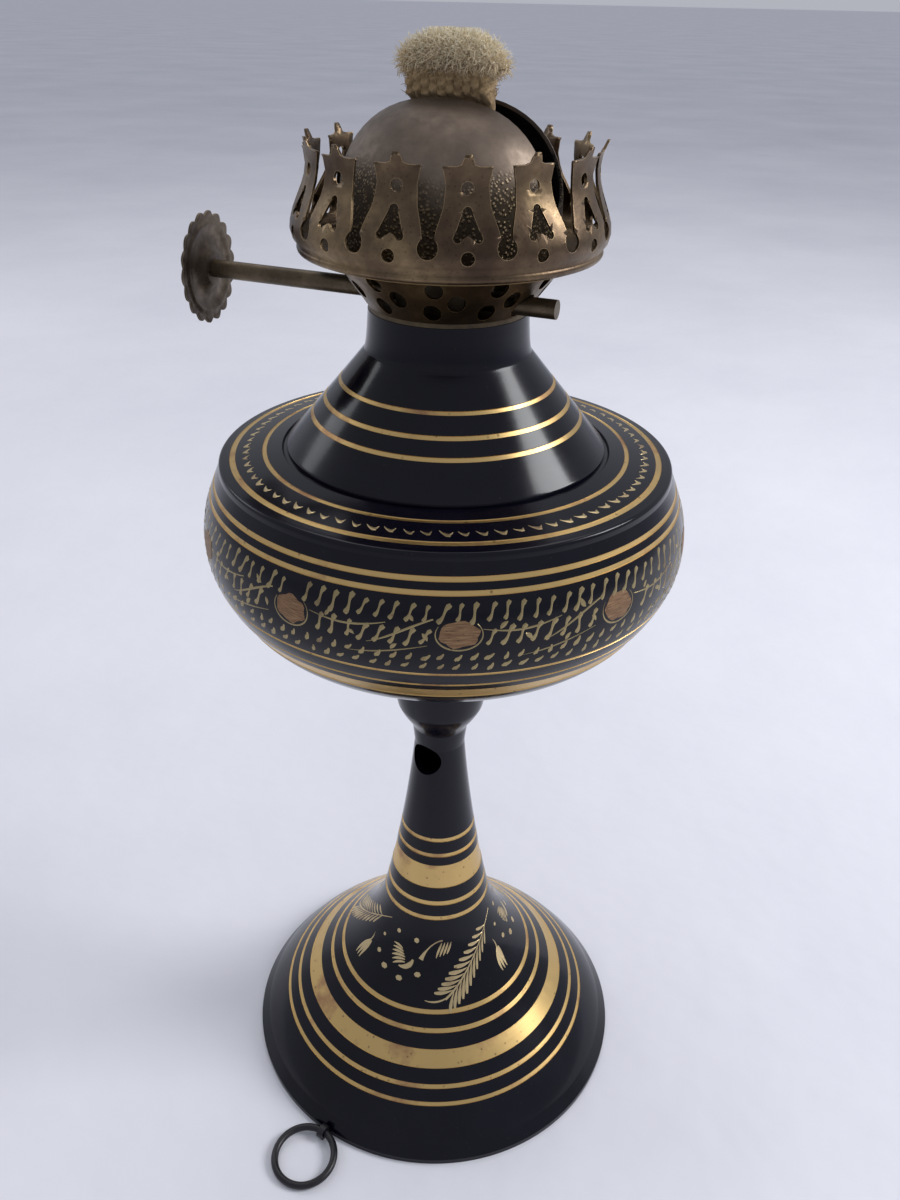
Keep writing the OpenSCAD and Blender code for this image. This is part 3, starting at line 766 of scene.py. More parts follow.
def wrap(name, part, outline, run, radius, turn, material):
    """Wraps a flat piece on an outline: x runs round it at that radius, y up along the outline."""
    verts, faces = part
    angle = verts[:, 0] / radius + math.radians(turn)
    here = run + verts[:, 1]
    place = outline.at(here) - outline.inwards(here) * verts[:, 2:3]
    points = np.stack([place[:, 0] * np.sin(angle), -place[:, 0] * np.cos(angle), place[:, 1]], 1)
    mesh = bpy.data.meshes.new(name)
    mesh.from_pydata(points.tolist(), [], faces)
    mesh.materials.append(material)
    mesh.update()
    face_outwards(mesh)
    obj = new_object(name, mesh)
    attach(obj, "lamp")


def bend(start, pull_start, pull_end, end, widths, count=9):
    """A stroke along a cubic curve."""
    return stroke(curve(start, pull_start, pull_end, end, count), widths)


print("strokes ready")

# %% [markdown]
# Rows of equal marks come from Geometry Nodes: one mark is set along a line, each copy turned,
# scaled and shifted a little at random, as a hand does it.

# %% A row of marks
def new_tree(name, **inputs):
    """A Geometry Nodes tree that takes a mesh, the inputs given and a finish, with its sockets."""
    tree = bpy.data.node_groups.new(name, "GeometryNodeTree")
    for label, kind in {"Geometry": "Geometry", **inputs, "Finish": "Material"}.items():
        tree.interface.new_socket(label, in_out="INPUT", socket_type="NodeSocket" + kind)
    tree.interface.new_socket("Geometry", in_out="OUTPUT", socket_type="NodeSocketGeometry")
    return tree, tree.nodes.new("NodeGroupInput").outputs


def end_tree(tree, copies, finish):
    """The last steps of a tree: the copies made real and given their finish."""
    real = tree.nodes.new("GeometryNodeRealizeInstances")
    finished = tree.nodes.new("GeometryNodeSetMaterial")
    end = tree.nodes.new("NodeGroupOutput")
    tree.links.new(copies.outputs[0], real.inputs[0])
    tree.links.new(real.outputs[0], finished.inputs["Geometry"])
    tree.links.new(finish, finished.inputs["Material"])
    tree.links.new(finished.outputs[0], end.inputs[0])


def make_row_tree():
    tree, start = new_tree("row_of_marks", Mark="Object", Count="Int", Pitch="Float",
                           Turn="Float", Smallest="Float", Largest="Float", Stray="Float",
                           Seed="Int")
    line = tree.nodes.new("GeometryNodeMeshLine")
    step = tree.nodes.new("ShaderNodeCombineXYZ")
    tree.links.new(start["Pitch"], step.inputs["X"])
    tree.links.new(step.outputs[0], line.inputs["Offset"])
    tree.links.new(start["Count"], line.inputs["Count"])

    def random_value(low, high, extra_seed):
        node = tree.nodes.new("FunctionNodeRandomValue")
        seed = maths(tree, "ADD", start["Seed"], extra_seed)
        tree.links.new(low, node.inputs[2])
        tree.links.new(high, node.inputs[3])
        tree.links.new(seed, node.inputs["Seed"])
        return node.outputs[1]

    def either_way(socket, extra_seed):
        """A random value between a socket's value and the same below zero."""
        return random_value(maths(tree, "MULTIPLY", socket, -1.0), socket, extra_seed)

    shift = tree.nodes.new("ShaderNodeCombineXYZ")
    tree.links.new(either_way(start["Stray"], 1), shift.inputs["X"])
    tree.links.new(either_way(start["Stray"], 2), shift.inputs["Y"])
    move = tree.nodes.new("GeometryNodeSetPosition")
    tree.links.new(line.outputs[0], move.inputs["Geometry"])
    tree.links.new(shift.outputs[0], move.inputs["Offset"])
    mark = tree.nodes.new("GeometryNodeObjectInfo")
    tree.links.new(start["Mark"], mark.inputs["Object"])
    turn = tree.nodes.new("ShaderNodeCombineXYZ")
    tree.links.new(either_way(start["Turn"], 3), turn.inputs["Z"])
    copies = tree.nodes.new("GeometryNodeInstanceOnPoints")
    tree.links.new(move.outputs[0], copies.inputs["Points"])
    tree.links.new(mark.outputs["Geometry"], copies.inputs["Instance"])
    tree.links.new(turn.outputs[0], copies.inputs["Rotation"])
    tree.links.new(random_value(start["Smallest"], start["Largest"], 4), copies.inputs["Scale"])
    end_tree(tree, copies, start["Finish"])
    return tree


def finished_mesh(host, tree, values):
    """Runs a node tree on an object once, with its inputs set, and returns the plain mesh."""
    nodes_modifier = host.modifiers.new("repeat", "NODES")
    nodes_modifier.node_group = tree
    for item in tree.interface.items_tree:
        if item.in_out == "INPUT" and item.name in values:
            nodes_modifier[item.identifier] = values[item.name]
    host.update_tag()
    bpy.context.view_layer.update()
    graph = bpy.context.evaluated_depsgraph_get()
    mesh = bpy.data.meshes.new_from_object(host.evaluated_get(graph))
    host.modifiers.remove(nodes_modifier)
    return mesh


row_tree = make_row_tree()


def row_of(part, count, pitch, seed, turn=6, smallest=0.85, largest=1.15, stray=0.15):
    """A flat row of copies of a mark, still laid out along X. Sizes are in millimetres."""
    verts, faces = part
    mark_mesh = bpy.data.meshes.new("mark")
    mark_mesh.from_pydata(verts.tolist(), [], faces)
    mark = new_object("mark", mark_mesh)
    host = new_object("row", bpy.data.meshes.new("row"))
    mesh = finished_mesh(host, row_tree, {
        "Mark": mark, "Count": count, "Pitch": pitch * MM, "Turn": math.radians(turn),
        "Smallest": smallest, "Largest": largest, "Stray": stray * MM, "Seed": seed,
        "Finish": engraved_brass})
    flat = np.empty(len(mesh.vertices) * 3)
    mesh.vertices.foreach_get("co", flat)
    out = (flat.reshape(-1, 3), [tuple(face.vertices) for face in mesh.polygons])
    bpy.data.objects.remove(mark)
    bpy.data.objects.remove(host)
    bpy.data.meshes.remove(mesh)
    return out


def without(part, per_mark, spots, half_width, half_height):
    """Drops the marks whose middle is on one of the spots (x, y), each an ellipse."""
    verts, faces = part
    middles = verts.reshape(-1, per_mark, 3).mean(axis=1) / MM
    keep = np.ones(len(middles), bool)
    for x, y in spots:
        keep &= np.hypot((middles[:, 0] - x) / half_width, (middles[:, 1] - y) / half_height) > 1
    faces = [face for face in faces if keep[face[0] // per_mark]]
    used = sorted({i for face in faces for i in face})
    where = {old: new for new, old in enumerate(used)}
    return verts[used], [tuple(where[i] for i in face) for face in faces]


print("node tree:", row_tree.name)

# %% [markdown]
# The shoulder carries one row of slanting commas between its two rings.

# %% Shoulder engraving
SHOULDER_R = 41.4
SHOULDER_Z = 173.95
SHOULDER_COUNT = 78
comma = gathered([
    stroke([(-1.25, 0.75), (-0.75, 0.25), (-0.2, -0.1), (0.3, -0.35), (0.8, -0.5)],
           (0.10, 0.34, 0.68, 0.92, 0.50)),
    stroke([(0.40, -0.25), (0.80, 0.10), (1.05, 0.55)], (0.60, 0.42, 0.06))])
commas = row_of(comma, SHOULDER_COUNT, 2 * math.pi * SHOULDER_R / SHOULDER_COUNT, 3, turn=9,
                smallest=0.85, largest=1.1, stray=0.14)
shoulder_run = top_outline.nearest(SHOULDER_R * MM, SHOULDER_Z * MM)
wrap("shoulder_engraving", commas, top_outline, shoulder_run, SHOULDER_R * MM, 4, engraved_brass)
print("shoulder marks:", SHOULDER_COUNT)

# %% [markdown]
# The belly has two rows of S-shaped flicks over two of small specks. Ten filed medallions break
# them, linked by thin vine lines with small leaves.

# %% Belly engraving
BELLY_R = 51.0
BELLY_ROUND = 2 * math.pi * BELLY_R
MEDALLIONS = 10
MEDALLION_TURN = 25.4
MEDALLION_CLEAR = (5.2, 4.1)
FLICKS = 112
HIGH_SPECKS = 112
LOW_SPECKS = 104
gap = BELLY_ROUND / MEDALLIONS
belly_run = bowl_outline.nearest(51.28 * MM, 159.2 * MM)
flick = stroke([(-0.9, -1.8), (-0.62, -1.45), (-0.28, -0.95), (-0.08, -0.35), (0.05, 0.3),
                (0.2, 0.85), (0.48, 1.35), (0.9, 1.75)],
               (0.70, 0.95, 0.66, 0.44, 0.42, 0.60, 0.98, 0.72))
speck = stroke([(-0.6, -0.65), (-0.25, -0.35), (0.1, 0.05), (0.3, 0.55)], (0.3, 0.75, 0.45, 0.2))
spots = [(i * BELLY_ROUND / MEDALLIONS, 0) for i in range(MEDALLIONS + 1)]


def belly_row(mark, count, height, seed, size, turn):
    """A row of marks round the belly, with room left for the medallions."""
    row = row_of(mark, count, BELLY_ROUND / count, seed, turn=turn, smallest=size * 0.82,
                 largest=size * 1.15, stray=0.22)
    return without(placed(row, 0, height), len(mark[0]), spots, *MEDALLION_CLEAR)


belly_rows = gathered([belly_row(flick, FLICKS, 4.1, 11, 0.98, 10),
                       belly_row(flick, FLICKS, -0.6, 12, 0.98, 12),
                       belly_row(speck, HIGH_SPECKS, -4.6, 13, 1.35, 25),
                       belly_row(speck, LOW_SPECKS, -6.9, 14, 1.35, 25)])
wrap("belly_flicks", belly_rows, bowl_outline, belly_run, BELLY_R * MM, MEDALLION_TURN,
     dull_brass)

leaf = stroke([(-0.9, 0), (-0.45, 0.1), (0, 0.14), (0.45, 0.1), (0.9, 0)],
              (0.1, 0.7, 0.85, 0.6, 0.1))
vines = []
rng = np.random.default_rng(21)
for i in range(MEDALLIONS):
    x = i * gap
    lift = rng.uniform(-0.5, 0.5)
    vines.append(bend((x + 4.2, 1.0), (x + 9, 0.2), (x + 12, -0.2), (x + 19, 1.4 + lift),
                      (0.10, 0.34, 0.42, 0.16), 22))
    vines.append(bend((x + 15.5, -2.6), (x + 19, -1.6), (x + 23, 1.4), (x + gap - 4.6, 2.9),
                      (0.10, 0.38, 0.46, 0.28), 22))
    vines.append(bend((x + 11.5, -5.2), (x + 16, -4.9), (x + 20, -3.9), (x + 26.5, -2.6 + lift),
                      (0.08, 0.30, 0.30, 0.12), 20))
    for leaf_x, leaf_y, leaf_turn in ((8.0, 1.5, 40), (12.6, -1.2, -35), (20.5, -2.9, 40),
                                      (23.6, 3.1, 130), (26.0, -0.6, -60)):
        vines.append(placed(leaf, x + leaf_x, leaf_y, leaf_turn + rng.uniform(-15, 15),
                            rng.uniform(0.8, 1.2)))
wrap("belly_vines", gathered(vines), bowl_outline, belly_run, BELLY_R * MM, MEDALLION_TURN,
     dull_brass)
print("belly:", FLICKS, "flicks in each of two rows,", len(vines), "vine strokes")

# %% [markdown]
# Each medallion is filed flat rather than cut, so it is browner and shows the file's lines. Its
# rim wobbles, and a scratched line runs round its lower half.

# %% Medallions
RIM_POINTS = 24
PLATE_RISE = 0.045
PLATE_SINK = 0.25
SCRATCH_GAP = 0.55


def make_filed():
    material, tree, shader = start_material("filed_copper", Metallic=0.85)
    coords = tree.nodes.new("ShaderNodeTexCoord")
    stretch = tree.nodes.new("ShaderNodeMapping")
    stretch.inputs["Scale"].default_value = (420, 420, 7000)
    tree.links.new(coords.outputs["Object"], stretch.inputs["Vector"])
    grain = tree.nodes.new("ShaderNodeTexNoise")
    grain.inputs["Scale"].default_value = 1.0
    grain.inputs["Detail"].default_value = 3.0
    tree.links.new(stretch.outputs[0], grain.inputs["Vector"])
    pits = use_group(tree, specks, Scale=900.0, Size=0.22)
    tone = ramp(tree, grain.outputs["Fac"],
                [(0.3, (0.12, 0.065, 0.035)), (0.5, (0.25, 0.145, 0.080)),
                 (0.7, (0.36, 0.235, 0.125))])
    colour = mix_colour(tree, pits.outputs["Mask"], tone, (0.10, 0.06, 0.04))
    tree.links.new(colour, shader.inputs["Base Color"])
    tree.links.new(spread(tree, grain.outputs["Fac"], 0.38, 0.60), shader.inputs["Roughness"])
    bump(tree, shader, grain.outputs["Fac"], 0.00006, 0.8)
    return material


def medallion(width, height, seed):
    """A low closed plate with a wobbling rim, in rings round its middle."""
    dice = np.random.default_rng(seed)
    angle = np.linspace(0, 2 * math.pi, RIM_POINTS, endpoint=False)
    lobes = 0.07 * np.cos(6 * angle + dice.uniform(0, 6))
    corners = 1 + lobes + dice.uniform(-0.04, 0.04, RIM_POINTS)
    rim = np.stack([np.cos(angle) * width / 2, np.sin(angle) * height / 2], 1) * corners[:, None]
    rings = (0.34, 0.67, 1.0)
    verts, faces = [(0, 0, PLATE_RISE)], []
    for share in rings:
        verts += [(x * share, y * share, PLATE_RISE) for x, y in rim]
    verts += [(x, y, -PLATE_SINK) for x, y in rim]
    for j in range(RIM_POINTS):
        k = (j + 1) % RIM_POINTS
        faces.append((0, 1 + j, 1 + k))
        for ring in range(len(rings)):
            a = 1 + ring * RIM_POINTS
            b = a + RIM_POINTS
            faces.append((a + j, b + j, b + k, a + k))
    last = 1 + len(rings) * RIM_POINTS
    faces.append(tuple(last + j for j in reversed(range(RIM_POINTS))))
    return np.array(verts) * MM, faces


filed = make_filed()
plates, scratches = [], []
for i in range(MEDALLIONS):
    width = rng.uniform(6.2, 7.8)
    height = rng.uniform(4.8, 6.0)
    plates.append(placed(medallion(width, height, 40 + i), i * gap, 0, rng.uniform(-8, 8)))
    sweep = np.radians(np.linspace(150, 400, 40))
    loop = np.stack([i * gap + np.cos(sweep) * (width / 2 + SCRATCH_GAP),
                     np.sin(sweep) * (height / 2 + SCRATCH_GAP)], 1)
    scratches.append(stroke(loop, (0.1, 0.36, 0.30, 0.1)))
wrap("medallions", gathered(plates), bowl_outline, belly_run, BELLY_R * MM, MEDALLION_TURN, filed)
wrap("medallion_scratches", gathered(scratches), bowl_outline, belly_run, BELLY_R * MM,
     MEDALLION_TURN, dull_brass)
print("medallions:", len(plates))

# %% [markdown]
# The foot is engraved three times round with one group: a flower with dots about it, a curled
# stalk with a striped petal, a long leafy frond and a seed pod.

# %% Foot engraving
SPRAY_R = 18.0
SPRAYS = 3
SPRAY_TURN = 22
LEAFLET_PAIRS = 11
spray_run = foot_outline.nearest(25.6 * MM, 27.3 * MM)


def at_foot(turn, height):
    """Flat place on the foot, from an angle in degrees and a height above the inner ring."""
    return math.radians(turn) * SPRAY_R, height


def frond():
    """A long spine whose leaflets hang back towards its root."""
    spine = curve(at_foot(7, 2.7), at_foot(19, 6.3), at_foot(37, 15.0), at_foot(69, 19.8), 60)
    strokes = [stroke(spine, (0.55, 0.4, 0.34, 0.3, 0.2)),
               bend(at_foot(-6, 2.4), at_foot(0, 1.8), at_foot(6, 2.2), at_foot(12, 4.2),
                    (0.15, 0.5, 0.4, 0.2))]
    for k in range(LEAFLET_PAIRS):
        here = 10 + 4 * k
        spot, ahead = spine[here], spine[here + 1] - spine[here]
        way = math.degrees(math.atan2(ahead[1], ahead[0]))
        grow = 1.12 - 0.045 * abs(k - 4)
        for side, lean, length, fat in ((1, 138, 4.6, 1.0), (-1, -152, 6.0, 0.68)):
            leaflet = bend((0.35, 0), (1.5, 0.3 * side), (length * 0.7, 0.35 * side), (length, 0),
                           tuple(fat * w for w in (0.14, 0.42, 0.80, 1.05, 0.55)), 8)
            strokes.append(placed(leaflet, spot[0], spot[1], way + lean, grow))
    return strokes


def dot(turn, height, size, seed):
    """A small round mark on the foot."""
    x, y = at_foot(turn, height)
    return placed(medallion(size, size * 0.9, seed), x, y)


def flower(turn, height):
    """Six stacked petals and a seventh curled round their foot."""
    x, y = at_foot(turn, height)
    petals = []
    for k in range(6):
        petals.append(placed(bend((-2.1, -0.3), (-0.9, 0.35), (0.6, 0.45), (1.7, 0.1),
                                  (0.2, 0.72, 0.68, 0.25)), x - 0.3 * k + 0.3, y + 0.8 * (k - 2.5),
                             20 - 7 * k, 1 - 0.06 * abs(k - 2)))
    petals.append(placed(bend((-1.4, -1.2), (0.3, -1.3), (1.7, -0.3), (1.9, 1.5),
                              (0.3, 1.2, 1.3, 0.5)), x + 1.7, y - 1.6))
    return petals


def spray():
    """One group of the foot's engraving, measured from the middle of its flower and petal."""
    strokes = frond() + flower(-30, 12.2)
    for number, (turn, height, size) in enumerate(((-38, 18.0, 1.3), (-18, 17.4, 1.5),
                                                   (-50, 9.8, 1.3), (-52, 14.4, 1.0),
                                                   (-26, 6.4, 1.5), (-13, 8.6, 1.5),
                                                   (-40, 7.4, 1.6))):
        strokes.append(dot(turn, height, size, 60 + number))
    strokes.append(bend(at_foot(-12, 12.6), at_foot(-9, 15.5), at_foot(-1, 18.0), at_foot(7, 18.0),
                        (1.3, 0.4, 0.3, 0.4), 16))
    for k in range(4):
        strokes.append(bend(at_foot(1 + 3.1 * k, 13.4 + 0.3 * k), at_foot(2 + 3.1 * k, 15),
                            at_foot(5 + 3 * k, 16.4), at_foot(6 + 3 * k, 17.4),
                            (0.2, 0.62, 0.55, 0.2)))
    for k in range(3):
        strokes.append(bend(at_foot(52 + 2.6 * k, 3.6), at_foot(51.5 + 2.8 * k, 6),
                            at_foot(54 + 2.4 * k, 8), at_foot(57 + k, 9.6),
                            (0.2, 0.75, 0.8, 0.25)))
    strokes.append(bend(at_foot(57, 9.4), at_foot(58, 10.4), at_foot(58, 11.2), at_foot(57, 12.2),
                        (0.35, 0.3, 0.1)))
    return gathered(strokes)


one_spray = spray()
for number in range(SPRAYS):
    wrap(f"foot_spray_{number + 1}", one_spray, foot_outline, spray_run, SPRAY_R * MM,
         SPRAY_TURN + 360 / SPRAYS * number, engraved_brass)
print("foot sprays:", SPRAYS, "with", len(one_spray[1]), "faces each")

# %% [markdown]
# ## Burner
# The burner is pressed brass sheet that years of heat have browned. It is worn to gold where
# hands and the chimney touch it; its cut edges are lighter, rubbed and with a painted highlight.

# %% Burner finishes
def make_aged(name, dark, middle, worn, low_rough, high_rough, edges=True):
    """Browned brass between three tones; its edges are lighter, as wear and as a painted highlight,
    unless it is out of reach.
    """
    material, tree, shader = start_material(name, Metallic=0.92)
    slow = use_group(tree, clouds, Scale=48.0, Low=0.34, High=0.66)
    fine = use_group(tree, clouds, Scale=420.0, Low=0.30, High=0.70)
    grime = use_group(tree, specks, Scale=1100.0, Size=0.26)
    tone = ramp(tree, slow.outputs["Mask"], [(0.0, dark), (0.5, middle), (1.0, worn)])
    tone = mix_colour(tree, maths(tree, "MULTIPLY", fine.outputs["Mask"], 0.45), tone, dark)
    tone = mix_colour(tree, maths(tree, "MULTIPLY", grime.outputs["Mask"], 0.6), tone,
                      tuple(c * 0.35 for c in dark))
    if edges:
        # Painted highlight along the edges, laid together with the rubbed wear there.
        wear = use_group(tree, edge_wear_and_highlight, Reach=0.00022)
        rub_and_highlight = maths(tree, "MULTIPLY", wear.outputs["Mask"], 0.75)
        tone = mix_colour(tree, rub_and_highlight, tone, tuple(min(1, c * 1.5) for c in worn))
    tree.links.new(tone, shader.inputs["Base Color"])
    rough = maths(tree, "MULTIPLY", slow.outputs["Mask"], fine.outputs["Mask"])
    tree.links.new(spread(tree, rough, low_rough, high_rough), shader.inputs["Roughness"])
    first = bump(tree, shader, fine.outputs["Mask"], 0.00004, 0.5)
    bump(tree, shader, grime.outputs["Height"], 0.00003, 0.5, under=first)
    return material


gallery_brass = make_aged("gallery_brass", (0.062, 0.040, 0.027), (0.150, 0.103, 0.061),
                          (0.35, 0.25, 0.135), 0.34, 0.56)
cup_brass = make_aged("cup_brass", (0.055, 0.036, 0.020), (0.145, 0.095, 0.047),
                      (0.32, 0.21, 0.095), 0.34, 0.55)
inner_brass = make_aged("inner_brass", (0.050, 0.038, 0.026), (0.13, 0.10, 0.06),
                        (0.26, 0.20, 0.12), 0.42, 0.62, edges=False)
winder_brass = make_aged("winder_brass", (0.060, 0.045, 0.030), (0.15, 0.115, 0.075),
                         (0.28, 0.22, 0.13), 0.36, 0.58)
knob_brass = make_aged("knob_brass", (0.045, 0.034, 0.027), (0.105, 0.080, 0.060),
                       (0.24, 0.19, 0.14), 0.42, 0.66)
machined_brass = make_aged("machined_brass", (0.22, 0.15, 0.06), (0.44, 0.32, 0.14),
                           (0.58, 0.44, 0.22), 0.28, 0.42, edges=False)
print("aged brass is ready")

# %% [markdown]
# The dome is smoked grey brown on top. Below, it is stippled by the press, with golden specks
# where the points are rubbed. Inside it is black with soot.

# %% Dome finishes
dome_low, dome_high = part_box("dome")
DOME_FLOOR = dome_low[2]
DOME_TOP = dome_high[2]
DOME_R = dome_high[0]
STIPPLE_END = DOME_FLOOR + 18.5 * MM
STIPPLE_FULL = DOME_FLOOR + 12.5 * MM
STIPPLE_RAGGED = 4.5 * MM


def make_dome_finish():
    material, tree, shader = start_material("dome_smoked", Metallic=0.88)
    coords = tree.nodes.new("ShaderNodeTexCoord")
    split = tree.nodes.new("ShaderNodeSeparateXYZ")
    tree.links.new(coords.outputs["Object"], split.inputs[0])
    slow = use_group(tree, clouds, Scale=55.0, Low=0.33, High=0.67)
    ragged = maths(tree, "MULTIPLY", slow.outputs["Mask"], STIPPLE_RAGGED)
    level = maths(tree, "ADD", split.outputs["Z"], ragged)
    low_part = tree.nodes.new("ShaderNodeMapRange")
    low_part.inputs["From Min"].default_value = STIPPLE_END
    low_part.inputs["From Max"].default_value = STIPPLE_FULL
    tree.links.new(level, low_part.inputs["Value"])
    stipple = use_group(tree, specks, Scale=1450.0, Size=0.52)
    fine = use_group(tree, clouds, Scale=500.0, Low=0.3, High=0.7)
    smooth_tone = ramp(tree, slow.outputs["Mask"],
                       [(0.0, (0.100, 0.074, 0.057)), (0.5, (0.165, 0.126, 0.098)),
                        (1.0, (0.25, 0.195, 0.148))])
    rough_tone = ramp(tree, stipple.outputs["Mask"],
                      [(0.0, (0.075, 0.055, 0.034)), (0.55, (0.19, 0.140, 0.078)),
                       (1.0, (0.48, 0.36, 0.18))])
    tone = mix_colour(tree, low_part.outputs["Result"], smooth_tone, rough_tone)
    tone = mix_colour(tree, maths(tree, "MULTIPLY", fine.outputs["Mask"], 0.3), tone,
                      (0.10, 0.080, 0.065))
    tree.links.new(tone, shader.inputs["Base Color"])
    tree.links.new(spread(tree, fine.outputs["Mask"], 0.42, 0.58), shader.inputs["Roughness"])
    points = maths(tree, "MULTIPLY", stipple.outputs["Mask"], low_part.outputs["Result"])
    first = bump(tree, shader, fine.outputs["Mask"], 0.00003, 0.35)
    bump(tree, shader, points, 0.00024, 0.9, under=first)
    return material


def make_soot():
    material, tree, shader = start_material("soot")
    crust = use_group(tree, clouds, Scale=700.0, Low=0.3, High=0.7)
    tone = ramp(tree, crust.outputs["Mask"],
                [(0.0, (0.0025, 0.0022, 0.0020)), (1.0, (0.013, 0.011, 0.009))])
    tree.links.new(tone, shader.inputs["Base Color"])
    tree.links.new(spread(tree, crust.outputs["Mask"], 0.75, 0.95), shader.inputs["Roughness"])
    bump(tree, shader, crust.outputs["Mask"], 0.00012, 0.8)
    return material


dome_smoked = make_dome_finish()
soot = make_soot()
print("dome stands from", round(DOME_FLOOR, 4), "to", round(DOME_TOP, 4), "m")

# %% [markdown]
# The pressed pieces keep the frame's own shape. Each is a merged copy, so that its faces shade
# smoothly and its edges stay sharp.

# %% Pressed pieces
def merged_copy(name, node, finish, body, crease=34):
    """A copy of a frame piece with its doubled points merged, in place of that piece."""
    mesh = nodes[node].data.copy()
    mesh.name = name
    mesh.transform(nodes[node].matrix_world)
    mesh.materials.clear()
    mesh.materials.append(finish)
    mesh.polygons.foreach_set("material_index", [0] * len(mesh.polygons))
    work = bmesh.new()
    work.from_mesh(mesh)
    bmesh.ops.remove_doubles(work, verts=work.verts, dist=2e-6)
    work.to_mesh(mesh)
    work.free()
    face_outwards(mesh)
    smooth(mesh, crease)
    obj = new_object(name, mesh)
    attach(obj, body)
    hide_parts(node)
    return obj


def points_of(mesh):
    flat = np.empty(len(mesh.vertices) * 3)
    mesh.vertices.foreach_get("co", flat)
    return flat.reshape(-1, 3)


def put_points(mesh, points):
    mesh.vertices.foreach_set("co", np.ascontiguousarray(points).ravel())
    mesh.update()


merged_copy("vented_cup", "burner_cup", cup_brass, "burner")

dome = merged_copy("dome_shell", "dome", dome_smoked, "burner", 30)
dome.data.materials.append(soot)
SKIRT_TOP = DOME_FLOOR + 7 * MM
CROWN = 2.3
HALF_SHEET = 0.35 * MM
inside = []
for face in dome.data.polygons:
    x, y, z = face.center
    rise = max(0.0, z - SKIRT_TOP) / (DOME_TOP - SKIRT_TOP - HALF_SHEET)
    reach = math.hypot(x, y) / (DOME_R - HALF_SHEET)
    inside.append(1 if rise ** CROWN + reach ** CROWN < 1 else 0)
dome.data.polygons.foreach_set("material_index", inside)
print("dome faces inside:", sum(inside), "of", len(inside))

# %% [markdown]
# No two prongs of a used gallery stand alike. Each one here leans, sways and twists a little,
# about its own root, by an amount drawn from a fixed seed.

# %% Gallery
PRONGS = 14
FIRST_PRONG = math.radians(2)
PRONG_ROOT = DOME_FLOOR + 5.5 * MM
PRONG_R = 27.6 * MM
gallery = merged_copy("bent_gallery", "gallery", gallery_brass, "burner", 40)
GALLERY_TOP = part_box("gallery")[1][2]
dice = np.random.default_rng(8)
lean = dice.uniform(-0.7, 0.9, PRONGS) * MM
sway = dice.uniform(-0.7, 0.7, PRONGS) * MM
twist = np.radians(dice.uniform(-9, 9, PRONGS))

points = points_of(gallery.data)
round_angle = np.arctan2(points[:, 0], -points[:, 1])
which = np.round((round_angle - FIRST_PRONG) * PRONGS / (2 * math.pi)).astype(int) % PRONGS
centre = FIRST_PRONG + which * 2 * math.pi / PRONGS
share = np.clip((points[:, 2] - PRONG_ROOT) / (GALLERY_TOP - PRONG_ROOT), 0, 1) ** 1.4
out_x, out_y = np.sin(centre), -np.cos(centre)
side_x, side_y = np.cos(centre), np.sin(centre)
outward = points[:, 0] * out_x + points[:, 1] * out_y
sideways = points[:, 0] * side_x + points[:, 1] * side_y
turned = twist[which] * share
new_out = PRONG_R + (outward - PRONG_R) * np.cos(turned) - sideways * np.sin(turned)
new_side = (outward - PRONG_R) * np.sin(turned) + sideways * np.cos(turned)
new_out += lean[which] * share
new_side += sway[which] * share
bent = points.copy()
moved = points[:, 2] > PRONG_ROOT
bent[moved, 0] = (new_out * out_x + new_side * side_x)[moved]
bent[moved, 1] = (new_out * out_y + new_side * side_y)[moved]
put_points(gallery.data, bent)
print("prongs bent:", PRONGS)

# %% [markdown]
# The knob is a pressed disc with a scalloped rim, a ridge inside the scallops and a boss that
# takes the shaft. It sits a few degrees out of true on its shaft.

# %% Knob
knob_low, knob_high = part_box("winder_knob")
shaft_low, shaft_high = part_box("winder_shaft")
SHAFT_Y = (shaft_low[1] + shaft_high[1]) / 2
SHAFT_Z = (shaft_low[2] + shaft_high[2]) / 2
KNOB_R = (knob_high[1] - knob_low[1]) / 2
KNOB_X = shaft_low[0]
KNOB_TILT = math.radians(6)
SCALLOPS = 18
PER_SCALLOP = 10
SCALLOP_DEPTH = 0.95
SCALLOP_LIFT = 0.16
SCALLOP_FROM = 9.3
SCALLOP_WIDTH = 2.0
DRAWN_R = 11.3
knob_side = [(1.85, 1.32), (3.2, 1.32), (3.5, 1.15), (4.4, 0.55), (5.2, 0.16), (5.7, 0.0),
             (6.8, -0.08), (7.7, 0.04), (8.2, 0.30), (8.7, 0.40), (9.2, 0.28), (9.6, 0.06),
             (10.2, 0.02), (10.8, 0.10), (DRAWN_R, 0.0), (DRAWN_R, -0.42), (10.8, -0.52),
             (10.0, -0.45), (9.2, -0.50), (8.2, -0.58), (7.0, -0.85), (5.5, -0.95),
             (3.0, -0.98), (1.05, -0.98), (1.05, -0.02), (1.85, -0.02)]
turns = SCALLOPS * PER_SCALLOP
knob_points = np.empty((turns, len(knob_side), 3))
for k in range(turns):
    angle = 2 * math.pi * k / turns
    lobe = abs(math.cos(angle * SCALLOPS / 2))
    for j, (radius, height) in enumerate(knob_side):
        rim = min(1.0, max(0.0, (radius - SCALLOP_FROM) / SCALLOP_WIDTH))
        reach = (radius - rim * SCALLOP_DEPTH * (1 - lobe)) * KNOB_R / DRAWN_R
        lift = (height + rim * SCALLOP_LIFT * (lobe - 0.5)) * MM
        knob_points[k, j] = (lift, reach * math.cos(angle), reach * math.sin(angle))
flat = knob_points.reshape(-1, 3)
across, height = flat[:, 0].copy(), flat[:, 1].copy()
flat[:, 0] = across * math.cos(KNOB_TILT) - height * math.sin(KNOB_TILT) + KNOB_X
flat[:, 1] = across * math.sin(KNOB_TILT) + height * math.cos(KNOB_TILT) + SHAFT_Y
flat[:, 2] += SHAFT_Z
count = len(knob_side)
knob_faces = [(k * count + j, (k + 1) % turns * count + j,
               (k + 1) % turns * count + (j + 1) % count, k * count + (j + 1) % count)
              for k in range(turns) for j in range(count)]
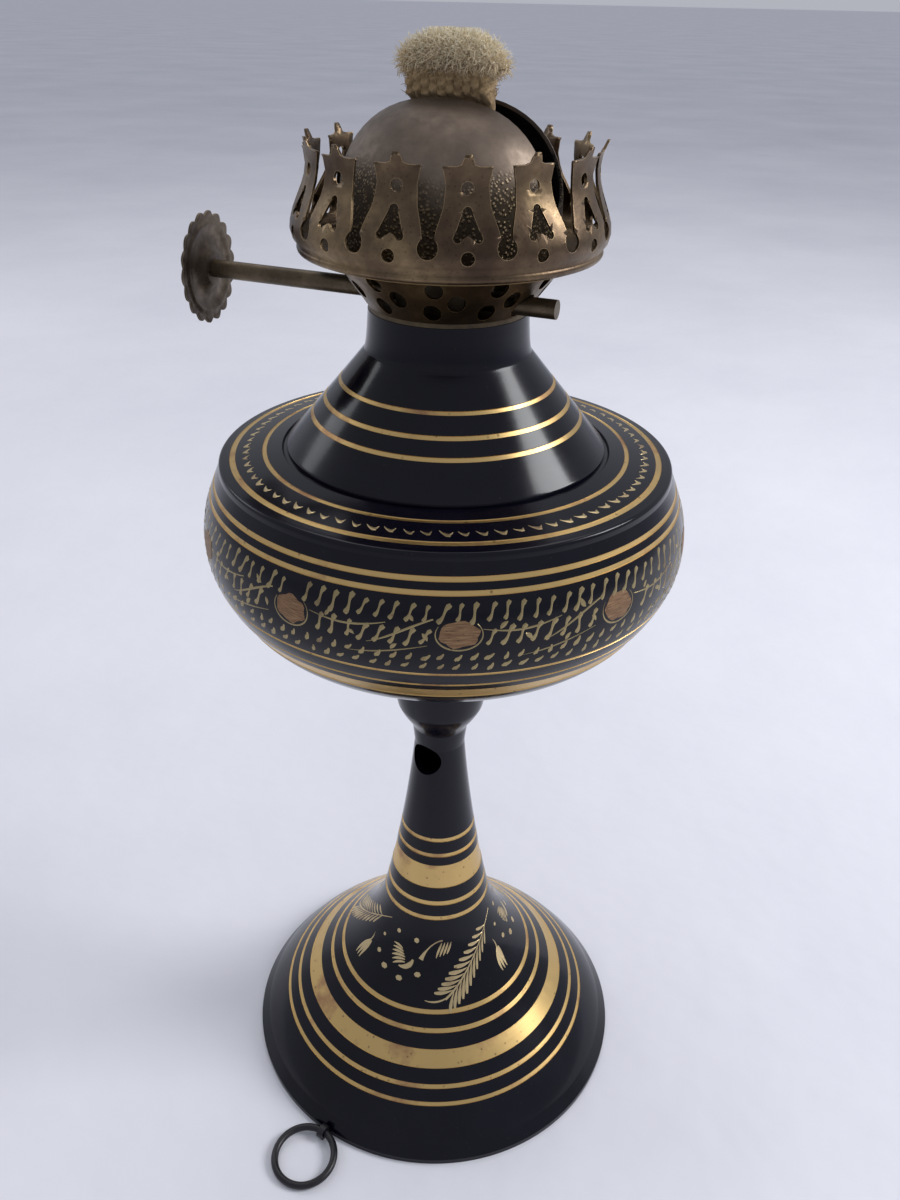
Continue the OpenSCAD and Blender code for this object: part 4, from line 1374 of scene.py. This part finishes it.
knob_mesh = bpy.data.meshes.new("scalloped_knob")
knob_mesh.from_pydata(flat.tolist(), [], knob_faces)
knob_mesh.materials.append(knob_brass)
face_outwards(knob_mesh)
smooth(knob_mesh, 50)
knob = new_object("scalloped_knob", knob_mesh)
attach(knob, "winder")
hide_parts("winder_knob")
print("knob:", SCALLOPS, "scallops,", len(knob_faces), "faces")

# %% [markdown]
# ## Wick
# The wick is a flat braid of cotton. Where it leaves the dome it swells, and its end has been
# picked apart into a mushroom of fibres.

# %% Cotton
PAINTED_SHADE_Z = DOME_TOP - 1.0 * MM
PAINTED_LIGHT_Z = DOME_TOP + 9.5 * MM


def make_cotton(name, low, middle, high):
    material, tree, shader = start_material(name, Roughness=0.95, Sheen_Weight=0.08)
    coords = tree.nodes.new("ShaderNodeTexCoord")
    split = tree.nodes.new("ShaderNodeSeparateXYZ")
    tree.links.new(coords.outputs["Object"], split.inputs[0])
    # Painted shade and light: the cotton is darkest just below the dome's top and grows lighter up
    # to the top of the cap.
    rise = tree.nodes.new("ShaderNodeMapRange")
    rise.inputs["From Min"].default_value = PAINTED_SHADE_Z
    rise.inputs["From Max"].default_value = PAINTED_LIGHT_Z
    tree.links.new(split.outputs["Z"], rise.inputs["Value"])
    patches = use_group(tree, clouds, Scale=260.0, Low=0.3, High=0.7)
    fine = use_group(tree, clouds, Scale=1800.0, Low=0.3, High=0.7)
    height = maths(tree, "MULTIPLY", rise.outputs["Result"], 0.75)
    blotch = maths(tree, "MULTIPLY", patches.outputs["Mask"], 0.30)
    tone = ramp(tree, maths(tree, "ADD", height, blotch), [(0.0, low), (0.5, middle), (1.0, high)])
    tone = mix_colour(tree, maths(tree, "MULTIPLY", fine.outputs["Mask"], 0.45), tone,
                      tuple(c * 0.5 for c in middle))
    tree.links.new(tone, shader.inputs["Base Color"])
    bump(tree, shader, fine.outputs["Mask"], 0.00012, 0.8)
    return material


braid_cotton = make_cotton("braid_cotton", (0.19, 0.115, 0.055), (0.50, 0.35, 0.18),
                           (0.82, 0.65, 0.38))
fray_cotton = make_cotton("fray_cotton", (0.46, 0.31, 0.16), (0.84, 0.68, 0.44),
                          (1.0, 0.92, 0.70))
print("cotton is ready")

# %% [markdown]
# The braid is built level by level. In the tube its ribs and plaits are grooves cut inwards, so
# that it keeps its clearance. Above the tube it swells and they stand out.

# %% Braid
wick_low, wick_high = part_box("wick")
tube_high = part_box("wick_tube")[1]
WICK_W = 16 * MM
WICK_T = 2.6 * MM
RIB = 1.6 * MM
BRAID_TOP = wick_high[2] - 4.2 * MM
PLAIT = 1.9 * MM
SWELL_Z = tube_high[2] + 2.95 * MM
SWELL_OVER = 1.5 * MM
SWELL_OUT = 1.15 * MM
SWELL_SHIFT = 0.45 * MM
FACE_POINTS = 72


def braid_mesh():
    """Points and faces of the braid: one closed ring of points for each level."""
    levels = np.r_[np.arange(wick_low[2], tube_high[2], 0.42 * MM),
                   np.arange(tube_high[2], BRAID_TOP, 0.22 * MM)]
    face = np.linspace(-1, 1, FACE_POINTS)
    bulge = (1 - face ** 8) ** 0.125
    c, s = np.r_[face, face[-2:0:-1]], np.r_[-bulge, bulge[-2:0:-1]]
    rows = []
    for z in levels:
        out_of_tube = min(1.0, max(0.0, (z - SWELL_Z) / SWELL_OVER))
        x = c * WICK_W / 2
        y = s * (WICK_T / 2 + SWELL_OUT * out_of_tube)
        rib = np.floor(x / RIB)
        within = x / RIB - rib - 0.5
        plait = np.cos(2 * math.pi * (z / PLAIT + 0.5 * (rib % 2)
                                      + 0.55 * np.abs(within) * np.sign(y)))
        swell = (0.40 * np.abs(np.cos(math.pi * within)) ** 0.7 + 0.30 * plait) * MM * out_of_tube
        groove = (0.16 * (1 - np.abs(np.cos(math.pi * within)))
                  + 0.10 * (1 - plait)) * MM * (1 - out_of_tube)
        y = y + np.sign(y) * (swell - groove)
        x = x * (1 + 0.012 * plait * out_of_tube)
        rows.append(np.stack([x - SWELL_SHIFT * out_of_tube, y, np.full_like(x, z)], 1))
    verts = np.vstack(rows)
    n = len(c)
    faces = [(r * n + j, r * n + (j + 1) % n, (r + 1) * n + (j + 1) % n, (r + 1) * n + j)
             for r in range(len(levels) - 1) for j in range(n)]
    faces.append(tuple(reversed(range(n))))
    faces.append(tuple((len(levels) - 1) * n + j for j in range(n)))
    return verts, faces


verts, faces = braid_mesh()
braid_data = bpy.data.meshes.new("wick_braid")
braid_data.from_pydata(verts.tolist(), [], faces)
braid_data.materials.append(braid_cotton)
face_outwards(braid_data)
smooth(braid_data, 60)
braid = new_object("wick_braid", braid_data)
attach(braid, "wick")
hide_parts("wick")
print("braid:", len(faces), "faces")

# %% [markdown]
# The frayed cap is a lumpy core with bent fibres set all over it by Geometry Nodes. The same
# tree sets a thinner fuzz on the part of the braid that shows.

# %% Frayed cap
CAP_FIBRES = 3900
FUZZ_FIBRES = 700
CAP_HALF = (9.6 * MM, 4.3 * MM, 2.7 * MM)
CAP_DROP = 4.1 * MM
CAP_DROOP = 1.9 * MM


def make_fibre_tree():
    tree, start = new_tree("fibres_on_surface", Fibre="Object", Density="Float",
                           Smallest="Float", Largest="Float", Spread="Float", Seed="Int")
    scatter = tree.nodes.new("GeometryNodeDistributePointsOnFaces")
    tree.links.new(start["Geometry"], scatter.inputs["Mesh"])
    tree.links.new(start["Density"], scatter.inputs["Density"])
    tree.links.new(start["Seed"], scatter.inputs["Seed"])
    aim = tree.nodes.new("FunctionNodeAlignRotationToVector")
    tree.links.new(scatter.outputs["Normal"], aim.inputs["Vector"])
    fibre = tree.nodes.new("GeometryNodeObjectInfo")
    tree.links.new(start["Fibre"], fibre.inputs["Object"])
    turn = tree.nodes.new("FunctionNodeRandomValue")
    turn.data_type = "FLOAT_VECTOR"
    low = tree.nodes.new("ShaderNodeCombineXYZ")
    high = tree.nodes.new("ShaderNodeCombineXYZ")
    less = maths(tree, "MULTIPLY", start["Spread"], -1.0)
    for axis_name in ("X", "Y"):
        tree.links.new(less, low.inputs[axis_name])
        tree.links.new(start["Spread"], high.inputs[axis_name])
    high.inputs["Z"].default_value = 2 * math.pi
    tree.links.new(low.outputs[0], turn.inputs[0])
    tree.links.new(high.outputs[0], turn.inputs[1])
    both = tree.nodes.new("FunctionNodeRotateRotation")
    both.rotation_space = "LOCAL"
    tree.links.new(aim.outputs[0], both.inputs[0])
    tree.links.new(turn.outputs[0], both.inputs[1])
    size = tree.nodes.new("FunctionNodeRandomValue")
    tree.links.new(start["Smallest"], size.inputs[2])
    tree.links.new(start["Largest"], size.inputs[3])
    copies = tree.nodes.new("GeometryNodeInstanceOnPoints")
    tree.links.new(scatter.outputs["Points"], copies.inputs["Points"])
    tree.links.new(fibre.outputs["Geometry"], copies.inputs["Instance"])
    tree.links.new(both.outputs[0], copies.inputs["Rotation"])
    tree.links.new(size.outputs[1], copies.inputs["Scale"])
    end_tree(tree, copies, start["Finish"])
    return tree


def fibre_mesh(length, thick):
    """A bent, tapering fibre of four sides, growing up Z."""
    rings = 6
    t = np.linspace(0, 1, rings)
    middle = np.stack([0.42 * length * t ** 2, 0.12 * length * np.sin(3 * t),
                       length * (t - 0.25 * t ** 2)], 1)
    verts, faces = [], [(3, 2, 1, 0)]
    for k in range(rings):
        r = thick / 2 * (1 - 0.55 * t[k])
        verts += [(middle[k, 0] + r * math.cos(a), middle[k, 1] + r * math.sin(a), middle[k, 2])
                  for a in np.arange(4) * math.pi / 2]
    for k in range(rings - 1):
        for j in range(4):
            a, b = 4 * k + j, 4 * k + (j + 1) % 4
            faces.append((a, b, b + 4, a + 4))
    last = 4 * (rings - 1)
    faces.append((last, last + 1, last + 2, last + 3))
    mesh = bpy.data.meshes.new("fibre")
    mesh.from_pydata(verts, [], faces)
    mesh.polygons.foreach_set("use_smooth", [True] * len(mesh.polygons))
    return mesh


def cap_core():
    """The lumpy body of the frayed end: a fat lens that droops at both ends."""
    work = bmesh.new()
    bmesh.ops.create_icosphere(work, subdivisions=5, radius=1.0)
    half_x, half_y, half_z = CAP_HALF
    for vert in work.verts:
        x, y, z = vert.co
        lump = (0.07 * math.sin(7 * x + 2 * y) * math.cos(5 * y + 3 * z)
                + 0.05 * math.sin(13 * x + 1.3) * math.cos(11 * y) + 0.03 * math.sin(23 * x + 9 * z))
        grow = 1 + lump
        flat_under = 0.62 if z < 0 else 1.0
        vert.co = (x * grow * half_x - 0.2 * MM, y * grow * half_y,
                   wick_high[2] - CAP_DROP + z * grow * half_z * flat_under - CAP_DROOP * x * x)
    mesh = bpy.data.meshes.new("fray_core")
    work.to_mesh(mesh)
    work.free()
    mesh.materials.append(fray_cotton)
    face_outwards(mesh)
    smooth(mesh, 80)
    return mesh


def keep_in(points, low, high, margin):
    """Points held inside a box, by a margin."""
    return np.clip(points, np.array(low) + margin, np.array(high) - margin)


fibre_tree = make_fibre_tree()
core_mesh = cap_core()
core = new_object("fray_core", core_mesh)
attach(core, "wick")


def fibres(name, surface, count, length, thick, seed, splay, finish):
    """About so many fibres, spread evenly over a surface and splayed by up to an angle."""
    density = count / sum(face.area for face in surface.polygons)
    fibre = new_object("fibre", fibre_mesh(length, thick))
    host = new_object("host", surface)
    mesh = finished_mesh(host, fibre_tree, {
        "Fibre": fibre, "Density": density, "Smallest": 0.55, "Largest": 1.15, "Spread": splay,
        "Seed": seed, "Finish": finish})
    put_points(mesh, keep_in(points_of(mesh), wick_low, wick_high, 0.05 * MM))
    mesh.name = name
    obj = new_object(name, mesh)
    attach(obj, "wick")
    bpy.data.objects.remove(host)
    bpy.data.objects.remove(fibre)
    return obj


cap = fibres("fray_fibres", core_mesh.copy(), CAP_FIBRES, 2.6 * MM, 0.19 * MM, 5, 0.8,
             fray_cotton)

fuzz_surface = braid_data.copy()
work = bmesh.new()
work.from_mesh(fuzz_surface)
hidden = [face for face in work.faces
          if face.calc_center_median().z < SWELL_Z + 1.2 * MM or len(face.verts) > 4]
bmesh.ops.delete(work, geom=hidden, context="FACES")
work.to_mesh(fuzz_surface)
work.free()
fuzz = fibres("braid_fuzz", fuzz_surface, FUZZ_FIBRES, 1.1 * MM, 0.13 * MM, 6, 1.0,
              braid_cotton)
print("fray:", len(cap.data.polygons), "faces; fuzz:", len(fuzz.data.polygons), "faces")

# %% [markdown]
# ## The rest of the frame
# The pieces that keep their CAD shape get their finish here, by the part they play.

# %% Finishes for the frame's own pieces
def make_wire():
    material, tree, shader = start_material("blackened_wire", Specular_IOR_Level=0.5,
                                            Metallic=0.2)
    wear = use_group(tree, clouds, Scale=300.0, Low=0.35, High=0.7)
    tone = ramp(tree, wear.outputs["Mask"],
                [(0.0, (0.006, 0.006, 0.009)), (0.8, (0.016, 0.014, 0.017)),
                 (1.0, (0.045, 0.034, 0.026))])
    tree.links.new(tone, shader.inputs["Base Color"])
    tree.links.new(spread(tree, wear.outputs["Mask"], 0.28, 0.5), shader.inputs["Roughness"])
    bump(tree, shader, wear.outputs["Mask"], 0.00003, 0.6)
    return material


def make_leather():
    material, tree, shader = start_material("oiled_washer", Roughness=0.6)
    grain = use_group(tree, specks, Scale=1500.0, Size=0.5)
    tone = ramp(tree, grain.outputs["Mask"],
                [(0.0, (0.12, 0.075, 0.045)), (1.0, (0.21, 0.14, 0.085))])
    tree.links.new(tone, shader.inputs["Base Color"])
    bump(tree, shader, grain.outputs["Height"], 0.0001, 0.7)
    return material


wire = make_wire()
finish_of = {"font_stud": machined_brass, "font_nut": machined_brass,
             "collar_ring": machined_brass, "screw_sleeve": machined_brass,
             "sprocket_left": machined_brass, "sprocket_right": machined_brass,
             "sealing_washer": make_leather(), "ring_eye": wire, "pull_ring": wire,
             "base_plate": inner_brass, "air_plate": inner_brass, "wick_tube": inner_brass,
             "winder_box": inner_brass, "winder_shaft": winder_brass, "knob_rivet": knob_brass}
for name, finish in finish_of.items():
    for material_slot in nodes[name].material_slots:
        material_slot.material = finish
print("frame pieces finished:", len(finish_of))
